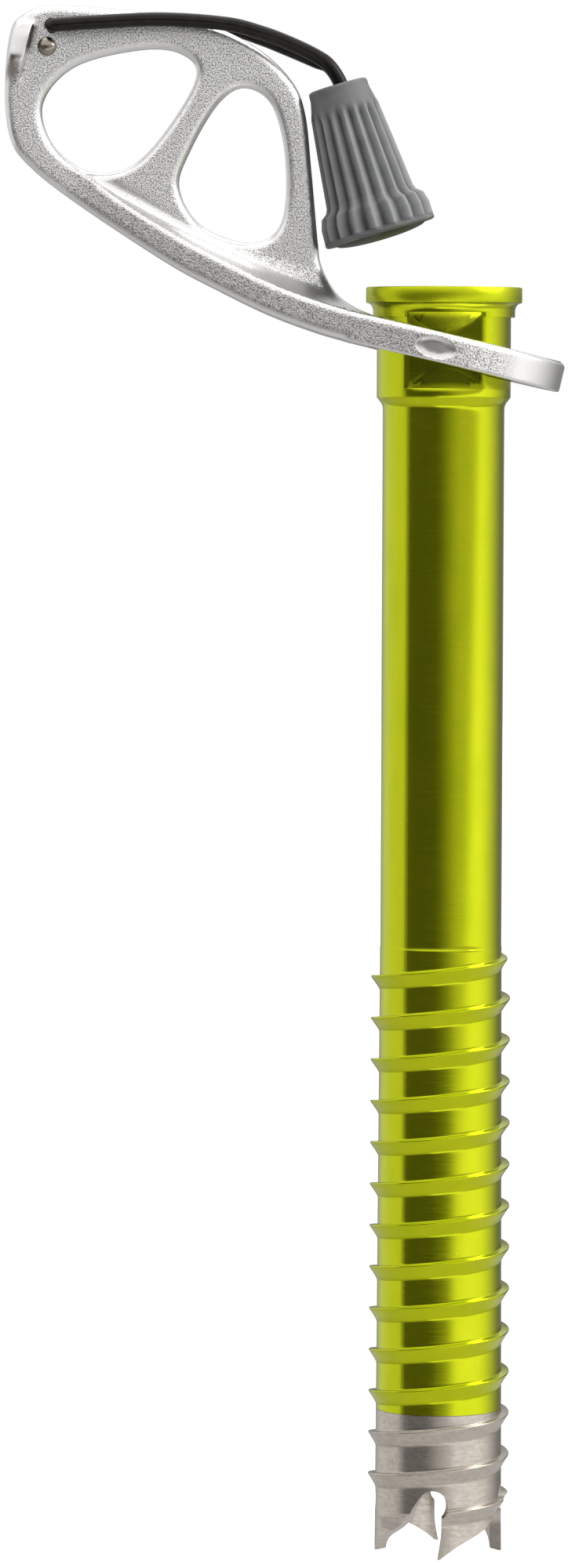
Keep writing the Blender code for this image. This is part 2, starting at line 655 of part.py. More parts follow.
def hanger_mesh():
    """Triangulate the side view and raise it to both faces of the forging."""
    outline = hanger_outline()
    eyes = [np.array(curve_through(eye, 4, closed=True)) for eye in (TIP_EYE, INNER_EYE)]
    seeds = []
    edge_steps = [WEB_EDGE * (1.0 - math.cos(math.radians(a))) for a in EDGE_ROWS]
    for amount in edge_steps:
        seeds.append(offset_inward(outline, amount))
        for eye in eyes:
            seeds.append(offset_inward(eye[::-1], -amount)[::-1])
    stations = [RING_HALF_LENGTH * math.cos(math.radians(a)) for a in range(6, 102, 12)]
    stations += list(np.linspace(0.5 * RING_NECK, RIB_END, 22))
    levels = [RING_THICKNESS + rise for rise in RIM_ROWS]
    seeds.append(np.array([(s, bottom_height(s) + level) for s in stations for level in levels]))
    for share in DIMPLE_ROWS:
        angles = math.tau * np.arange(14) / 14
        seeds.append(np.stack([
            DIMPLE_CENTRE + share * DIMPLE_HALF_WIDTH * np.cos(angles),
            share * DIMPLE_HALF_HEIGHT * np.sin(angles),
        ], axis=1))
    lug_columns = [HANGER_TIP + LUG_WIDTH + column for column in LUG_COLUMNS]
    lug_rows = [LUG_BOTTOM + row for row in LUG_LOWER_ROWS] + [LUG_TOP + row for row in LUG_UPPER_ROWS]
    seeds.append(np.array([(x, y) for x in lug_columns for y in lug_rows]))
    inner = np.concatenate(seeds)
    keep = inside(inner, outline)
    away = distance_to(inner, outline)
    for eye in eyes:
        keep &= ~inside(inner, eye)
        away = np.minimum(away, distance_to(inner, eye))
    inner = inner[keep & (away > 0.8 * edge_steps[0])]
    thin = []
    for point in inner:
        if all(abs(point[0] - q[0]) + abs(point[1] - q[1]) > LEAST_SPACING for q in thin):
            thin.append(point)
    loops = [outline] + eyes
    coordinates = [tuple(p) for loop in loops for p in loop]
    edges = []
    first = 0
    for loop in loops:
        edges += [(first + i, first + (i + 1) % len(loop)) for i in range(len(loop))]
        first += len(loop)
    coordinates += [tuple(p) for p in thin]
    flat, _, triangles, *_ = delaunay_2d_cdt([Vector(c) for c in coordinates], edges, [], 0, 1e-6)
    flat = np.array([(v[0], v[1]) for v in flat])
    triangles = np.array([t for t in triangles if len(t) == 3])
    centres = flat[triangles].mean(axis=1)
    solid = inside(centres, outline)
    for eye in eyes:
        solid &= ~inside(centres, eye)
    triangles = triangles[solid]
    depth = hanger_half_depth(flat, outline, eyes)
    count = len(flat)
    near = np.stack([flat[:, 0], -depth, flat[:, 1]], axis=1)
    far = np.stack([flat[:, 0], depth, flat[:, 1]], axis=1)
    faces = [tuple(int(i) for i in t) for t in triangles]
    faces += [tuple(int(i) + count for i in reversed(t)) for t in triangles]
    used = {}
    for t in triangles:
        for i in range(3):
            a, b = int(t[i]), int(t[(i + 1) % 3])
            used[(a, b)] = used.get((a, b), 0) + 1
    for a, b in used:
        if (b, a) not in used:
            faces.append((b, a, a + count, b + count))
    return [tuple(p) for p in np.concatenate([near, far])], faces


def ring_hole_profile():
    """Bore of the ring with its two crimped bosses, as an outline from above."""
    flat = SEAT_FLAT + FIT_CLEARANCE + RUNNING_CLEARANCE
    outline = []
    for side in (1.0, -1.0):
        edge = math.degrees(math.acos(BOSS_HALF_WIDTH / RING_HOLE_RADIUS))
        outline.append((side * BOSS_HALF_WIDTH, side * flat))
        first = edge if side > 0 else edge + 180.0
        sweep = arc((0.0, 0.0), RING_HOLE_RADIUS, first, first - 2.0 * edge, 14)
        outline += sweep
        outline.append((side * BOSS_HALF_WIDTH, -side * flat))
    return outline


def build_hanger(finish, frame):
    """Forged hanger with two eyes, a rib and the ring that rocks in the head."""
    points, faces = hanger_mesh()
    hanger = make_object("hanger", points, faces, finish, frame, smooth=50.0)
    outline = ring_hole_profile()
    count = len(outline)
    tall = RING_THICKNESS + 2.0 * CUT_ROOM
    hole_points = [(x, y, -tall) for x, y in outline] + [(x, y, tall) for x, y in outline]
    hole_faces = [tuple(range(count)), tuple(range(count, 2 * count))]
    for i in range(count):
        j = (i + 1) % count
        hole_faces.append((i, j, count + j, count + i))
    hole = make_object("ring_hole_cutter", hole_points, hole_faces, parent=frame)
    combine(hanger, hole, "DIFFERENCE", "ring_hole")
    foot_radius = (WIRE_RADIUS + RUNNING_CLEARANCE) / math.cos(math.pi / 24)
    rivet_radius = (RIVET_RADIUS + FIT_CLEARANCE) / math.cos(math.pi / 24)
    for name, centre, radius in (("pivot", PIVOT, foot_radius), ("rivet", RIVET_CENTRE, rivet_radius)):
        pin = cross_pin(centre, radius, WEB_THICKNESS + CUT_ROOM, 24)
        tool = make_object(name + "_hole_cutter", *pin, parent=frame)
        combine(hanger, tool, "DIFFERENCE", name + "_hole")
    return hanger


def cross_pin(centre, radius, half_length, count):
    """A plain round pin across the hanger, along Y."""
    points = []
    for y in (-half_length, half_length):
        for i in range(count):
            a = math.tau * i / count
            points.append((centre[0] + radius * math.cos(a), y, centre[1] + radius * math.sin(a)))
    faces = [tuple(range(count)), tuple(range(count, 2 * count))]
    for i in range(count):
        j = (i + 1) % count
        faces.append((i, j, count + j, count + i))
    return points, faces


def build_rivet(finish, frame):
    """Domed cross rivet through the web, just below the handle's pivot."""
    face = 0.5 * WEB_THICKNESS + SEAT_GAP
    half = [(RIVET_RADIUS, 0.0), (RIVET_RADIUS, face), (RIVET_HEAD_RADIUS, face)]
    centre_drop = (RIVET_HEAD_RADIUS ** 2 - RIVET_HEAD_RISE ** 2) / (2.0 * RIVET_HEAD_RISE)
    dome_radius = RIVET_HEAD_RISE + centre_drop
    for share in (0.35, 0.65, 0.9):
        radius = RIVET_HEAD_RADIUS * math.cos(0.5 * math.pi * share)
        half.append((radius, face + math.sqrt(dome_radius ** 2 - radius ** 2) - centre_drop))
    profile = [(radius, -height) for radius, height in reversed(half)] + half[1:]
    points, faces = lathe(profile, count=16)
    turned = [(RIVET_CENTRE[0] + x, z, RIVET_CENTRE[1] + y) for x, y, z in points]
    return make_object("stop_rivet", turned, faces, finish, frame)


def sweep(path, radius, sides):
    """Carry a round section along a path without twist; ends are flat."""
    path = [Vector(p) for p in path]
    directions = []
    for i, point in enumerate(path):
        before = path[max(i - 1, 0)]
        after = path[min(i + 1, len(path) - 1)]
        directions.append((after - before).normalized())
    side = directions[0].orthogonal().normalized()
    points = []
    for i, point in enumerate(path):
        if i > 0:
            side = directions[i - 1].rotation_difference(directions[i]) @ side
        side = (side - side.dot(directions[i]) * directions[i]).normalized()
        other = directions[i].cross(side)
        for k in range(sides):
            a = math.tau * k / sides
            points.append(tuple(point + radius * (math.cos(a) * side + math.sin(a) * other)))
    faces = [tuple(range(sides)), tuple(range((len(path) - 1) * sides, len(path) * sides))]
    for row in range(len(path) - 1):
        for i in range(sides):
            j = (i + 1) % sides
            faces.append((row * sides + i, row * sides + j, (row + 1) * sides + j, (row + 1) * sides + i))
    return points, faces


def knob_point(across, depth, along):
    """Turn a place given on the knob's axis into the hanger's frame."""
    lean = math.radians(KNOB_LEAN)
    return (
        KNOB_TOP[0] + along * math.sin(lean) + across * math.cos(lean),
        depth,
        KNOB_TOP[1] - along * math.cos(lean) + across * math.sin(lean),
    )


def leg_path(side):
    """One leg of the hairpin, from its foot in the web down into the core."""
    level = side * (0.5 * WEB_THICKNESS + LEG_CLEARANCE + WIRE_RADIUS)
    first = np.array(NEAR_LEG[0]) - np.array(PIVOT)
    first /= np.linalg.norm(first)
    path = [(PIVOT[0], side * FOOT_GAP, PIVOT[1]), (PIVOT[0], level - side * FOOT_BEND, PIVOT[1])]
    for angle in (30.0, 60.0, 90.0):
        a = math.radians(angle)
        forward = FOOT_BEND * (1.0 - math.cos(a))
        path.append((
            PIVOT[0] + first[0] * forward,
            level - side * FOOT_BEND * (1.0 - math.sin(a)),
            PIVOT[1] + first[1] * forward,
        ))
    waypoints = []
    for index, (along, up) in enumerate(NEAR_LEG):
        share = index / (len(NEAR_LEG) - 1)
        dip = FAR_LEG_DIP * math.sin(math.pi * share ** 2) if side > 0 else 0.0
        blend = min(max((along - LEG_BLEND_START) / LEG_BLEND_LENGTH, 0.0), 1.0)
        blend = blend * blend * (3.0 - 2.0 * blend)
        depth = level + (side * LEG_SPREAD_AT_KNOB - level) * blend
        waypoints.append((along, depth, up - dip))
    spread = side * LEG_SPREAD_AT_KNOB
    waypoints += [knob_point(across, spread, along) for across, along in KNOB_ENTRY]
    smooth = curve_through([path[-1]] + waypoints, 2)
    return path + [tuple(p) for p in smooth[1:]]


def build_wire(finish, frame):
    """One length of coated steel wire, bent as a hairpin with two inturned feet."""
    near = leg_path(-1.0)
    far = leg_path(1.0)
    turn = []
    depth = CORE_BORE_DEPTH - WIRE_RADIUS - LEG_SPREAD_AT_KNOB - LOOP_CLEARANCE
    for step in range(7):
        a = math.pi * step / 6
        side, deeper = -LEG_SPREAD_AT_KNOB * math.cos(a), LEG_SPREAD_AT_KNOB * math.sin(a)
        turn.append(knob_point(0.0, side, depth + deeper))
    path = near + turn + list(reversed(far))
    points, faces = sweep(path, WIRE_RADIUS, WIRE_SIDES)
    return make_object("wire_handle", points, faces, finish, frame, smooth=60.0)


def build_core(finish, axis):
    """Blind ferrule crimped over the hairpin; the grip turns on it."""
    groove_top = GRIP_SHOULDER + SEAT_GAP + CLIP_SET_BACK
    groove_bottom = groove_top + CLIP_THICKNESS + 2.0 * SEAT_GAP
    end = CORE_TOP + CORE_LENGTH
    profile = [
        (CORE_RADIUS, -CORE_TOP), (CORE_RADIUS, -groove_top), (GROOVE_RADIUS, -groove_top),
        (GROOVE_RADIUS, -groove_bottom), (CORE_RADIUS, -groove_bottom), (CORE_RADIUS, -end + CORE_CHAMFER),
        (CORE_RADIUS - CORE_CHAMFER, -end),
    ]
    core = make_object("swivel_core", *lathe(profile, count=KNOB_SIDES), finish, axis)
    bore = make_object("core_bore_cutter", *lathe([
        (CORE_BORE_RADIUS, CORE_TOP + 1.0), (CORE_BORE_RADIUS, -CORE_BORE_DEPTH),
    ], count=KNOB_SIDES), parent=axis)
    combine(core, bore, "DIFFERENCE", "bore")
    return core


def build_clip(finish, axis):
    """Open spring ring in the core's groove, which keeps the grip on."""
    top = -(GRIP_SHOULDER + 2.0 * SEAT_GAP + CLIP_SET_BACK)
    inner = GROOVE_RADIUS + SEAT_GAP
    floor = top - CLIP_THICKNESS
    section = [(inner, top), (CLIP_OUTER_RADIUS, top), (CLIP_OUTER_RADIUS, floor), (inner, floor)]
    steps = 20
    points = []
    for i in range(steps + 1):
        a = math.radians(CLIP_HALF_OPENING + (360.0 - 2.0 * CLIP_HALF_OPENING) * i / steps)
        for radius, height in section:
            points.append((radius * math.cos(a), radius * math.sin(a), height))
    return make_object("retaining_clip", points, box_faces(steps + 1), finish, axis)


def knob_radius(down):
    """Outer radius of the grip down its axis, on the ridges between its flutes."""
    rim = KNOB_LENGTH - KNOB_RIM_HEIGHT
    outline = [(0.0, KNOB_COLLAR_RADIUS - KNOB_TOP_EDGE), (KNOB_TOP_EDGE, KNOB_COLLAR_RADIUS),
               (KNOB_COLLAR_LENGTH, KNOB_COLLAR_RADIUS + 0.5 * (KNOB_WAIST_RADIUS - KNOB_COLLAR_RADIUS)),
               (KNOB_COLLAR_LENGTH + 1.0, KNOB_WAIST_RADIUS)]
    outline += [(rim + shift, KNOB_SKIRT_RADIUS + change) for shift, change in SKIRT_FLARE]
    outline += [(rim + shift, KNOB_RIM_RADIUS + change) for shift, change in RIM_SWELL]
    outline.append((KNOB_LENGTH - KNOB_END_ROUND, KNOB_RIM_RADIUS))
    outline.append((KNOB_LENGTH, KNOB_RIM_RADIUS - KNOB_END_ROUND))
    stations, radii = zip(*outline)
    return float(np.interp(down, stations, radii))


def flute_depth(down):
    """Depth of the flutes down the grip: none on the collar nor on the end band."""
    rim = KNOB_LENGTH - KNOB_RIM_HEIGHT
    stations = (KNOB_COLLAR_LENGTH, KNOB_COLLAR_LENGTH + FLUTE_RISE, rim, rim + SKIRT_FLARE[1][1],
                KNOB_LENGTH - KNOB_END_BAND, KNOB_LENGTH - KNOB_END_ROUND)
    depths = (0.0, FLUTE_DEPTH, FLUTE_DEPTH, RIM_FLUTE_DEPTH, RIM_FLUTE_DEPTH, 0.0)
    return float(np.interp(down, stations, depths))


def build_grip(finish, axis):
    """Moulded conical grip: a plain collar, long hollow flutes and a lobed rim."""
    per_flute = 4
    count = FLUTE_COUNT * per_flute
    rim = KNOB_LENGTH - KNOB_RIM_HEIGHT
    downs = [0.0, KNOB_TOP_EDGE]
    downs += [KNOB_COLLAR_LENGTH + share * FLUTE_RISE for share in (0.0, 0.4, 1.0)] + [0.55 * rim]
    downs += [rim + shift for shift, _ in SKIRT_FLARE + RIM_SWELL[:1]]
    downs += [KNOB_LENGTH - KNOB_END_BAND, KNOB_LENGTH - KNOB_END_ROUND, KNOB_LENGTH]
    points = []
    for down in downs:
        for i in range(count):
            a = math.tau * i / count
            hollow = abs(math.sin(0.5 * FLUTE_COUNT * a))
            radius = knob_radius(down) - flute_depth(down) * hollow
            a += math.radians(FLUTE_PHASE)
            points.append((radius * math.cos(a), radius * math.sin(a), -down))
    faces = []
    for row in range(len(downs) - 1):
        for i in range(count):
            j = (i + 1) % count
            faces.append((row * count + i, row * count + j, (row + 1) * count + j, (row + 1) * count + i))
    faces.append(tuple(range(count)))
    faces.append(tuple(range((len(downs) - 1) * count, len(downs) * count)))
    grip = make_object("knob_grip", points, faces, finish, axis, smooth=40.0)
    seat = CAP_RADIUS + FIT_CLEARANCE
    cap_floor = KNOB_LENGTH - CAP_SEAT_DEPTH
    cavity = make_object("grip_bore_cutter", *lathe([
        (CORE_RADIUS + RUNNING_CLEARANCE, CUT_ROOM), (CORE_RADIUS + RUNNING_CLEARANCE, -GRIP_SHOULDER),
        (CAVITY_RADIUS, -GRIP_SHOULDER), (CAVITY_RADIUS, -cap_floor), (seat, -cap_floor),
        (seat, -KNOB_LENGTH - CUT_ROOM),
    ], count=KNOB_SIDES), parent=axis)
    combine(grip, cavity, "DIFFERENCE", "cavity")
    return grip


def build_cap(finish, axis):
    """Domed cap pressed into the grip's wide end."""
    seat = KNOB_LENGTH - CAP_SEAT_DEPTH + SEAT_GAP
    spigot = CAVITY_RADIUS - FIT_CLEARANCE
    top = CAP_SPIGOT_LENGTH - seat
    profile = [(spigot - CAP_CHAMFER, top), (spigot, top - CAP_CHAMFER),
               (spigot, -seat), (CAP_RADIUS, -seat), (CAP_RADIUS, -KNOB_LENGTH)]
    for angle in (30.0, 60.0, 82.0):
        a = math.radians(angle)
        profile.append((CAP_RADIUS * math.cos(a), -(KNOB_LENGTH + CAP_DOME * math.sin(a))))
    return make_object("knob_end_cap", *lathe(profile, count=KNOB_SIDES), finish, axis)


def clear_scene():
    """Remove whatever the file holds before the screw is built."""
    for item in list(bpy.data.objects):
        bpy.data.objects.remove(item, do_unlink=True)


def main():
    """Build every piece on the joint axes that carry it."""
    clear_scene()
    green = material("green_anodised_aluminium", (0.42, 0.52, 0.02), 0.28, 1.0)
    steel = material("machined_steel", (0.52, 0.49, 0.46), 0.34, 1.0)
    forged = material("blasted_forging", (0.62, 0.62, 0.62), 0.48, 1.0)
    coated = material("black_coated_wire", (0.012, 0.012, 0.013), 0.25, 0.0)
    bright = material("bright_steel", (0.55, 0.53, 0.50), 0.22, 1.0)
    rubber = material("grey_moulded_grip", (0.13, 0.13, 0.13), 0.62, 0.0)

    build_tube(green)
    build_tip(steel)
    rock = make_axis("rock_axis", (0.0, 0.0, ROCK_HEIGHT), HANGER_TILT)
    build_hanger(forged, rock)
    build_rivet(bright, rock)
    swing = make_axis("swing_axis", (PIVOT[0], 0.0, PIVOT[1]), parent=rock)
    handle = make_axis("handle_frame", (-PIVOT[0], 0.0, -PIVOT[1]), parent=swing)
    build_wire(coated, handle)
    knob = make_axis("knob_axis", (KNOB_TOP[0], 0.0, KNOB_TOP[1]), -KNOB_LEAN, handle)
    build_core(bright, knob)
    build_clip(bright, knob)
    build_grip(rubber, knob)
    build_cap(rubber, knob)


main()
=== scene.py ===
"""Looks of the ice climbing screw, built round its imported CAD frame.

Every size is in millimetres until a mesh is made, and every piece stands in
the frame's own axes: Z along the tube, -X towards the hanger's eyes, -Y
towards the viewer. The hanger's side view is drawn level, as (along, up) from
the centre of its ring, and then rocked to where the photograph shows it.
"""

import logging
import math
from collections.abc import Callable, Sequence
from dataclasses import dataclass, field
from enum import Enum
from functools import partial

import bmesh
import bpy
import numpy as np
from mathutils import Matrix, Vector
from mathutils.geometry import delaunay_2d_cdt, tessellate_polygon

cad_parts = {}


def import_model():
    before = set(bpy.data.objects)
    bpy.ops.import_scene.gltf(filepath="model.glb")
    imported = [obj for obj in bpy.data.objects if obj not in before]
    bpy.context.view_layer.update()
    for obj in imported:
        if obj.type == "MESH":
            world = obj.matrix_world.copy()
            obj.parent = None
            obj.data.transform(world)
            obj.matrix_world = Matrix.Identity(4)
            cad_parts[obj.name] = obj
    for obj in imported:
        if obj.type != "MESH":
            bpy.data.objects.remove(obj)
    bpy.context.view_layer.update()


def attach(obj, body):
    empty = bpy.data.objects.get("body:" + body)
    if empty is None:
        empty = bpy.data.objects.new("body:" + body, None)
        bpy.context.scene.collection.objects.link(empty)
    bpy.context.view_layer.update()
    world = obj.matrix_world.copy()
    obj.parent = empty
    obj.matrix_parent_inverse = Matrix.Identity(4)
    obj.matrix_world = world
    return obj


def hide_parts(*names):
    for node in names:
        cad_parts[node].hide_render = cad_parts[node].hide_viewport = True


LOG = logging.getLogger("ice_screw")
MM = 0.001
WELD_DISTANCE = 1e-7
CUT_TOLERANCE = 1e-8
NOISE_SPAN = (0.3, 0.7)
WHITE = (1.0, 1.0, 1.0)
BLACK = (0.0, 0.0, 0.0)
Colour = tuple[float, float, float]
Profile = Sequence[tuple[float, float]]
Shape = tuple[np.ndarray, list]
Socket = bpy.types.NodeSocket


# Shared shapes

def smoothstep(value: np.ndarray | float) -> np.ndarray:
    """Ease from 0 to 1 as t*t*(3 - 2t), with t held between 0 and 1."""
    t = np.clip(value, 0.0, 1.0)
    return t * t * (3.0 - 2.0 * t)


def arc(centre: tuple[float, float], radius: float, first: float, last: float, steps: int) -> np.ndarray:
    """Points of a circular arc.

    Formula: centre + radius * (cos a, sin a), with a running evenly between
    two angles in degrees, ends included.

    Args:
        centre: the arc's centre.
        radius: its radius.
        first: the angle at its start, in degrees.
        last: the angle at its end, in degrees.
        steps: how many spans it has.

    Returns:
        An array of points, one row each.
    """
    angle = np.radians(np.linspace(first, last, steps + 1))
    return np.stack([centre[0] + radius * np.cos(angle), centre[1] + radius * np.sin(angle)], axis=1)


def curve_through(points: Sequence, steps: int, closed: bool = False) -> np.ndarray:
    """Smooth curve through given points.

    Formula: a Catmull-Rom cubic on each span, from the two points of the span
    and their outer neighbours, all spans worked out in one array.

    Args:
        points: the points to pass through, of any dimension.
        steps: samples on each span.
        closed: whether the last point joins the first.

    Returns:
        An array of points, one row each.
    """
    known = np.array(points, dtype=float)
    if closed:
        before, here = np.roll(known, 1, axis=0), known
        there, after = np.roll(known, -1, axis=0), np.roll(known, -2, axis=0)
    else:
        padded = np.vstack([2 * known[0] - known[1], known, 2 * known[-1] - known[-2]])
        before, here, there, after = padded[:-3], padded[1:-2], padded[2:-1], padded[3:]
    t = (np.arange(steps) / steps)[None, :, None]
    before, here, there, after = (part[:, None, :] for part in (before, here, there, after))
    value = 2 * here + (there - before) * t
    value = value + (2 * before - 5 * here + 4 * there - after) * t ** 2
    value = value + (3 * here - before - 3 * there + after) * t ** 3
    result = (value / 2).reshape(-1, known.shape[1])
    return result if closed else np.vstack([result, known[-1]])


def grid_faces(rows: int, columns: int, start: int = 0, wrap_rows: bool = False) -> np.ndarray:
    """Quads of a grid whose columns close on themselves.

    Args:
        rows: number of rows.
        columns: number of columns.
        start: index of the grid's first point.
        wrap_rows: whether the last row joins the first.

    Returns:
        An array with four indices in each row.
    """
    row, column = np.meshgrid(np.arange(rows if wrap_rows else rows - 1), np.arange(columns), indexing="ij")
    below, right = (row + 1) % rows, (column + 1) % columns
    here, there = row * columns, below * columns
    corners = [here + column, here + right, there + right, there + column]
    return np.stack(corners, axis=-1).reshape(-1, 4) + start


def around(radius: np.ndarray | float, angle: np.ndarray, height: np.ndarray) -> np.ndarray:
    """Points round the Z axis.

    Formula: (r cos a, r sin a, z). The three arrays are spread over one
    another.

    Args:
        radius: distances from the axis.
        angle: angles about it, in radians.
        height: heights along it.

    Returns:
        An array whose last axis holds x, y and z.
    """
    parts = np.broadcast_arrays(radius * np.cos(angle), radius * np.sin(angle), height)
    return np.stack(parts, axis=-1)


def turned(profile: Profile | np.ndarray, columns: int) -> Shape:
    """Turn a section about Z into a closed solid with flat ends.

    Args:
        profile: the section, as (radius, height) pairs.
        columns: points in each ring.

    Returns:
        Points in millimetres, and faces.
    """
    section = np.array(profile, dtype=float)
    angle = np.linspace(0.0, math.tau, columns, endpoint=False)
    points = around(section[:, :1], angle, section[:, 1:]).reshape(-1, 3)
    faces = grid_faces(len(section), columns).tolist()
    faces.append(list(range(columns)))
    faces.append(list(range(len(points) - columns, len(points))))
    return points, faces


def prism(
    outline: np.ndarray, place: Callable[[np.ndarray, float], np.ndarray], levels: Sequence[float],
) -> Shape:
    """Carry a flat outline through several levels and close both ends.

    Args:
        outline: the outline's points.
        place: gives the points in space of the outline at one level.
        levels: the levels, in order.

    Returns:
        Points in millimetres, and faces.
    """
    count = len(outline)
    points = np.concatenate([place(outline, level) for level in levels])
    triangles = np.array(tessellate_polygon([[Vector((x, y, 0.0)) for x, y in outline]]))
    faces = grid_faces(len(levels), count).tolist()
    faces += triangles.tolist()
    faces += (triangles[:, ::-1] + (len(levels) - 1) * count).tolist()
    return points, faces


def join_shapes(shapes: Sequence[Shape]) -> Shape:
    """Put several sets of points and faces into one.

    Args:
        shapes: the points and faces of each.

    Returns:
        All points, and all faces renumbered.
    """
    points, faces, start = [], [], 0
    for shape_points, shape_faces in shapes:
        points.append(shape_points)
        faces += [[int(i) + start for i in face] for face in shape_faces]
        start += len(shape_points)
    return np.concatenate(points), faces


# Shared mesh work

def new_mesh(name: str, points: np.ndarray, faces: list) -> bpy.types.Mesh:
    """Make a mesh, in metres, from points in millimetres."""
    mesh = bpy.data.meshes.new(name)
    mesh.from_pydata((np.asarray(points) * MM).tolist(), [], faces)
    return mesh


def rework(mesh: bpy.types.Mesh, *changes: Callable[[bmesh.types.BMesh], None]) -> bpy.types.Mesh:
    """Make changes to a mesh, one after the other.

    Args:
        mesh: the mesh to change.
        changes: functions that each change an editable copy of it.

    Returns:
        The same mesh.
    """
    work = bmesh.new()
    work.from_mesh(mesh)
    for change in changes:
        change(work)
    work.to_mesh(mesh)
    work.free()
    return mesh


def face_outwards(work: bmesh.types.BMesh) -> None:
    """Turn every face of a closed shell outwards."""
    bmesh.ops.recalc_face_normals(work, faces=work.faces)
    if work.calc_volume(signed=True) < 0.0:
        bmesh.ops.reverse_faces(work, faces=work.faces)


def weld(work: bmesh.types.BMesh) -> None:
    """Join points that stand in the same place."""
    bmesh.ops.remove_doubles(work, verts=work.verts, dist=WELD_DISTANCE)


def fill_rims(work: bmesh.types.BMesh) -> None:
    """Close the level openings of a skin with triangles."""
    rim = [edge for edge in work.edges if edge.is_boundary]
    bmesh.ops.triangle_fill(work, edges=rim, use_beauty=True, normal=(0.0, 0.0, 1.0))


def cut_level(work: bmesh.types.BMesh, height: float, keep_above: bool) -> None:
    """Cut a skin at a height in millimetres and keep one side of it.

    Args:
        work: the skin.
        height: where to cut it.
        keep_above: whether the upper side stays.
    """
    bmesh.ops.bisect_plane(
        work, geom=[*work.verts, *work.edges, *work.faces], dist=CUT_TOLERANCE,
        plane_co=(0.0, 0.0, height * MM), plane_no=(0.0, 0.0, 1.0),
        clear_inner=keep_above, clear_outer=not keep_above,
    )


def make_mesh(name: str, points: np.ndarray, faces: list) -> bpy.types.Mesh:
    """Make a closed mesh, in metres, with its faces turned outwards."""
    return rework(new_mesh(name, points, faces), face_outwards)


def add_object(name: str, data: bpy.types.ID) -> bpy.types.Object:
    """Put data into the scene as a new object."""
    item = bpy.data.objects.new(name, data)
    bpy.context.scene.collection.objects.link(item)
    return item


def carve(mesh: bpy.types.Mesh, cutter: Shape) -> bpy.types.Mesh:
    """Cut a set of closed solids out of a mesh.

    A crown of teeth and holes through a rounded forging have no single grid,
    so these two cuts are made by Blender.

    Args:
        mesh: the mesh to cut.
        cutter: the solids' points and faces.

    Returns:
        A new mesh of what is left.
    """
    body, tool = add_object("body", mesh), add_object("tool", make_mesh("tool", *cutter))
    change = body.modifiers.new("cut", "BOOLEAN")
    change.operation = "DIFFERENCE"
    change.solver = "EXACT"
    change.object = tool
    bpy.context.view_layer.update()
    result = bpy.data.meshes.new_from_object(body.evaluated_get(bpy.context.evaluated_depsgraph_get()))
    for item in (body, tool):
        bpy.data.objects.remove(item)
    return result


def stamp(mesh: bpy.types.Mesh, name: str, values: np.ndarray) -> None:
    """Store one number at each point of a mesh, for a material to read."""
    mesh.attributes.new(name, "FLOAT", "POINT").data.foreach_set("value", values.astype(np.float32))


def coordinates(mesh: bpy.types.Mesh) -> np.ndarray:
    """Points of a mesh in millimetres."""
    flat = np.zeros(3 * len(mesh.vertices))
    mesh.vertices.foreach_get("co", flat)
    return flat.reshape(-1, 3) / MM


def place_piece(
    name: str, mesh: bpy.types.Mesh, finish: bpy.types.Material, body: str, node: str,
    crease: float = 32.0,
) -> None:
    """Make a finished piece that stands for one CAD node and moves with its body.

    Args:
        name: the piece's name.
        mesh: its mesh, in place.
        finish: its material.
        body: the CAD body it moves with.
        node: the CAD node it stands for.
        crease: edges that turn more than this many degrees stay sharp.
    """
    mesh.name = name
    mesh.materials.clear()
    mesh.materials.append(finish)
    mesh.shade_smooth()
    mesh.set_sharp_from_angle(angle=math.radians(crease))
    piece = add_object(name, mesh)
    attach(piece, body)
    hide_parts(node)
    LOG.info("%s: %d faces, moves with %s", name, len(mesh.polygons), body)


# Finishes

class Combine(Enum):
    """How a node combines two numbers."""

    ADD = "ADD"
    TIMES = "MULTIPLY"
    LARGER = "MAXIMUM"


@dataclass(frozen=True)
class Pattern:
    """Cloudy noise: its fineness per millimetre along each axis, detail and roughness."""

    fine: tuple[float, float, float]
    detail: float = 2.0
    rough: float = 0.5


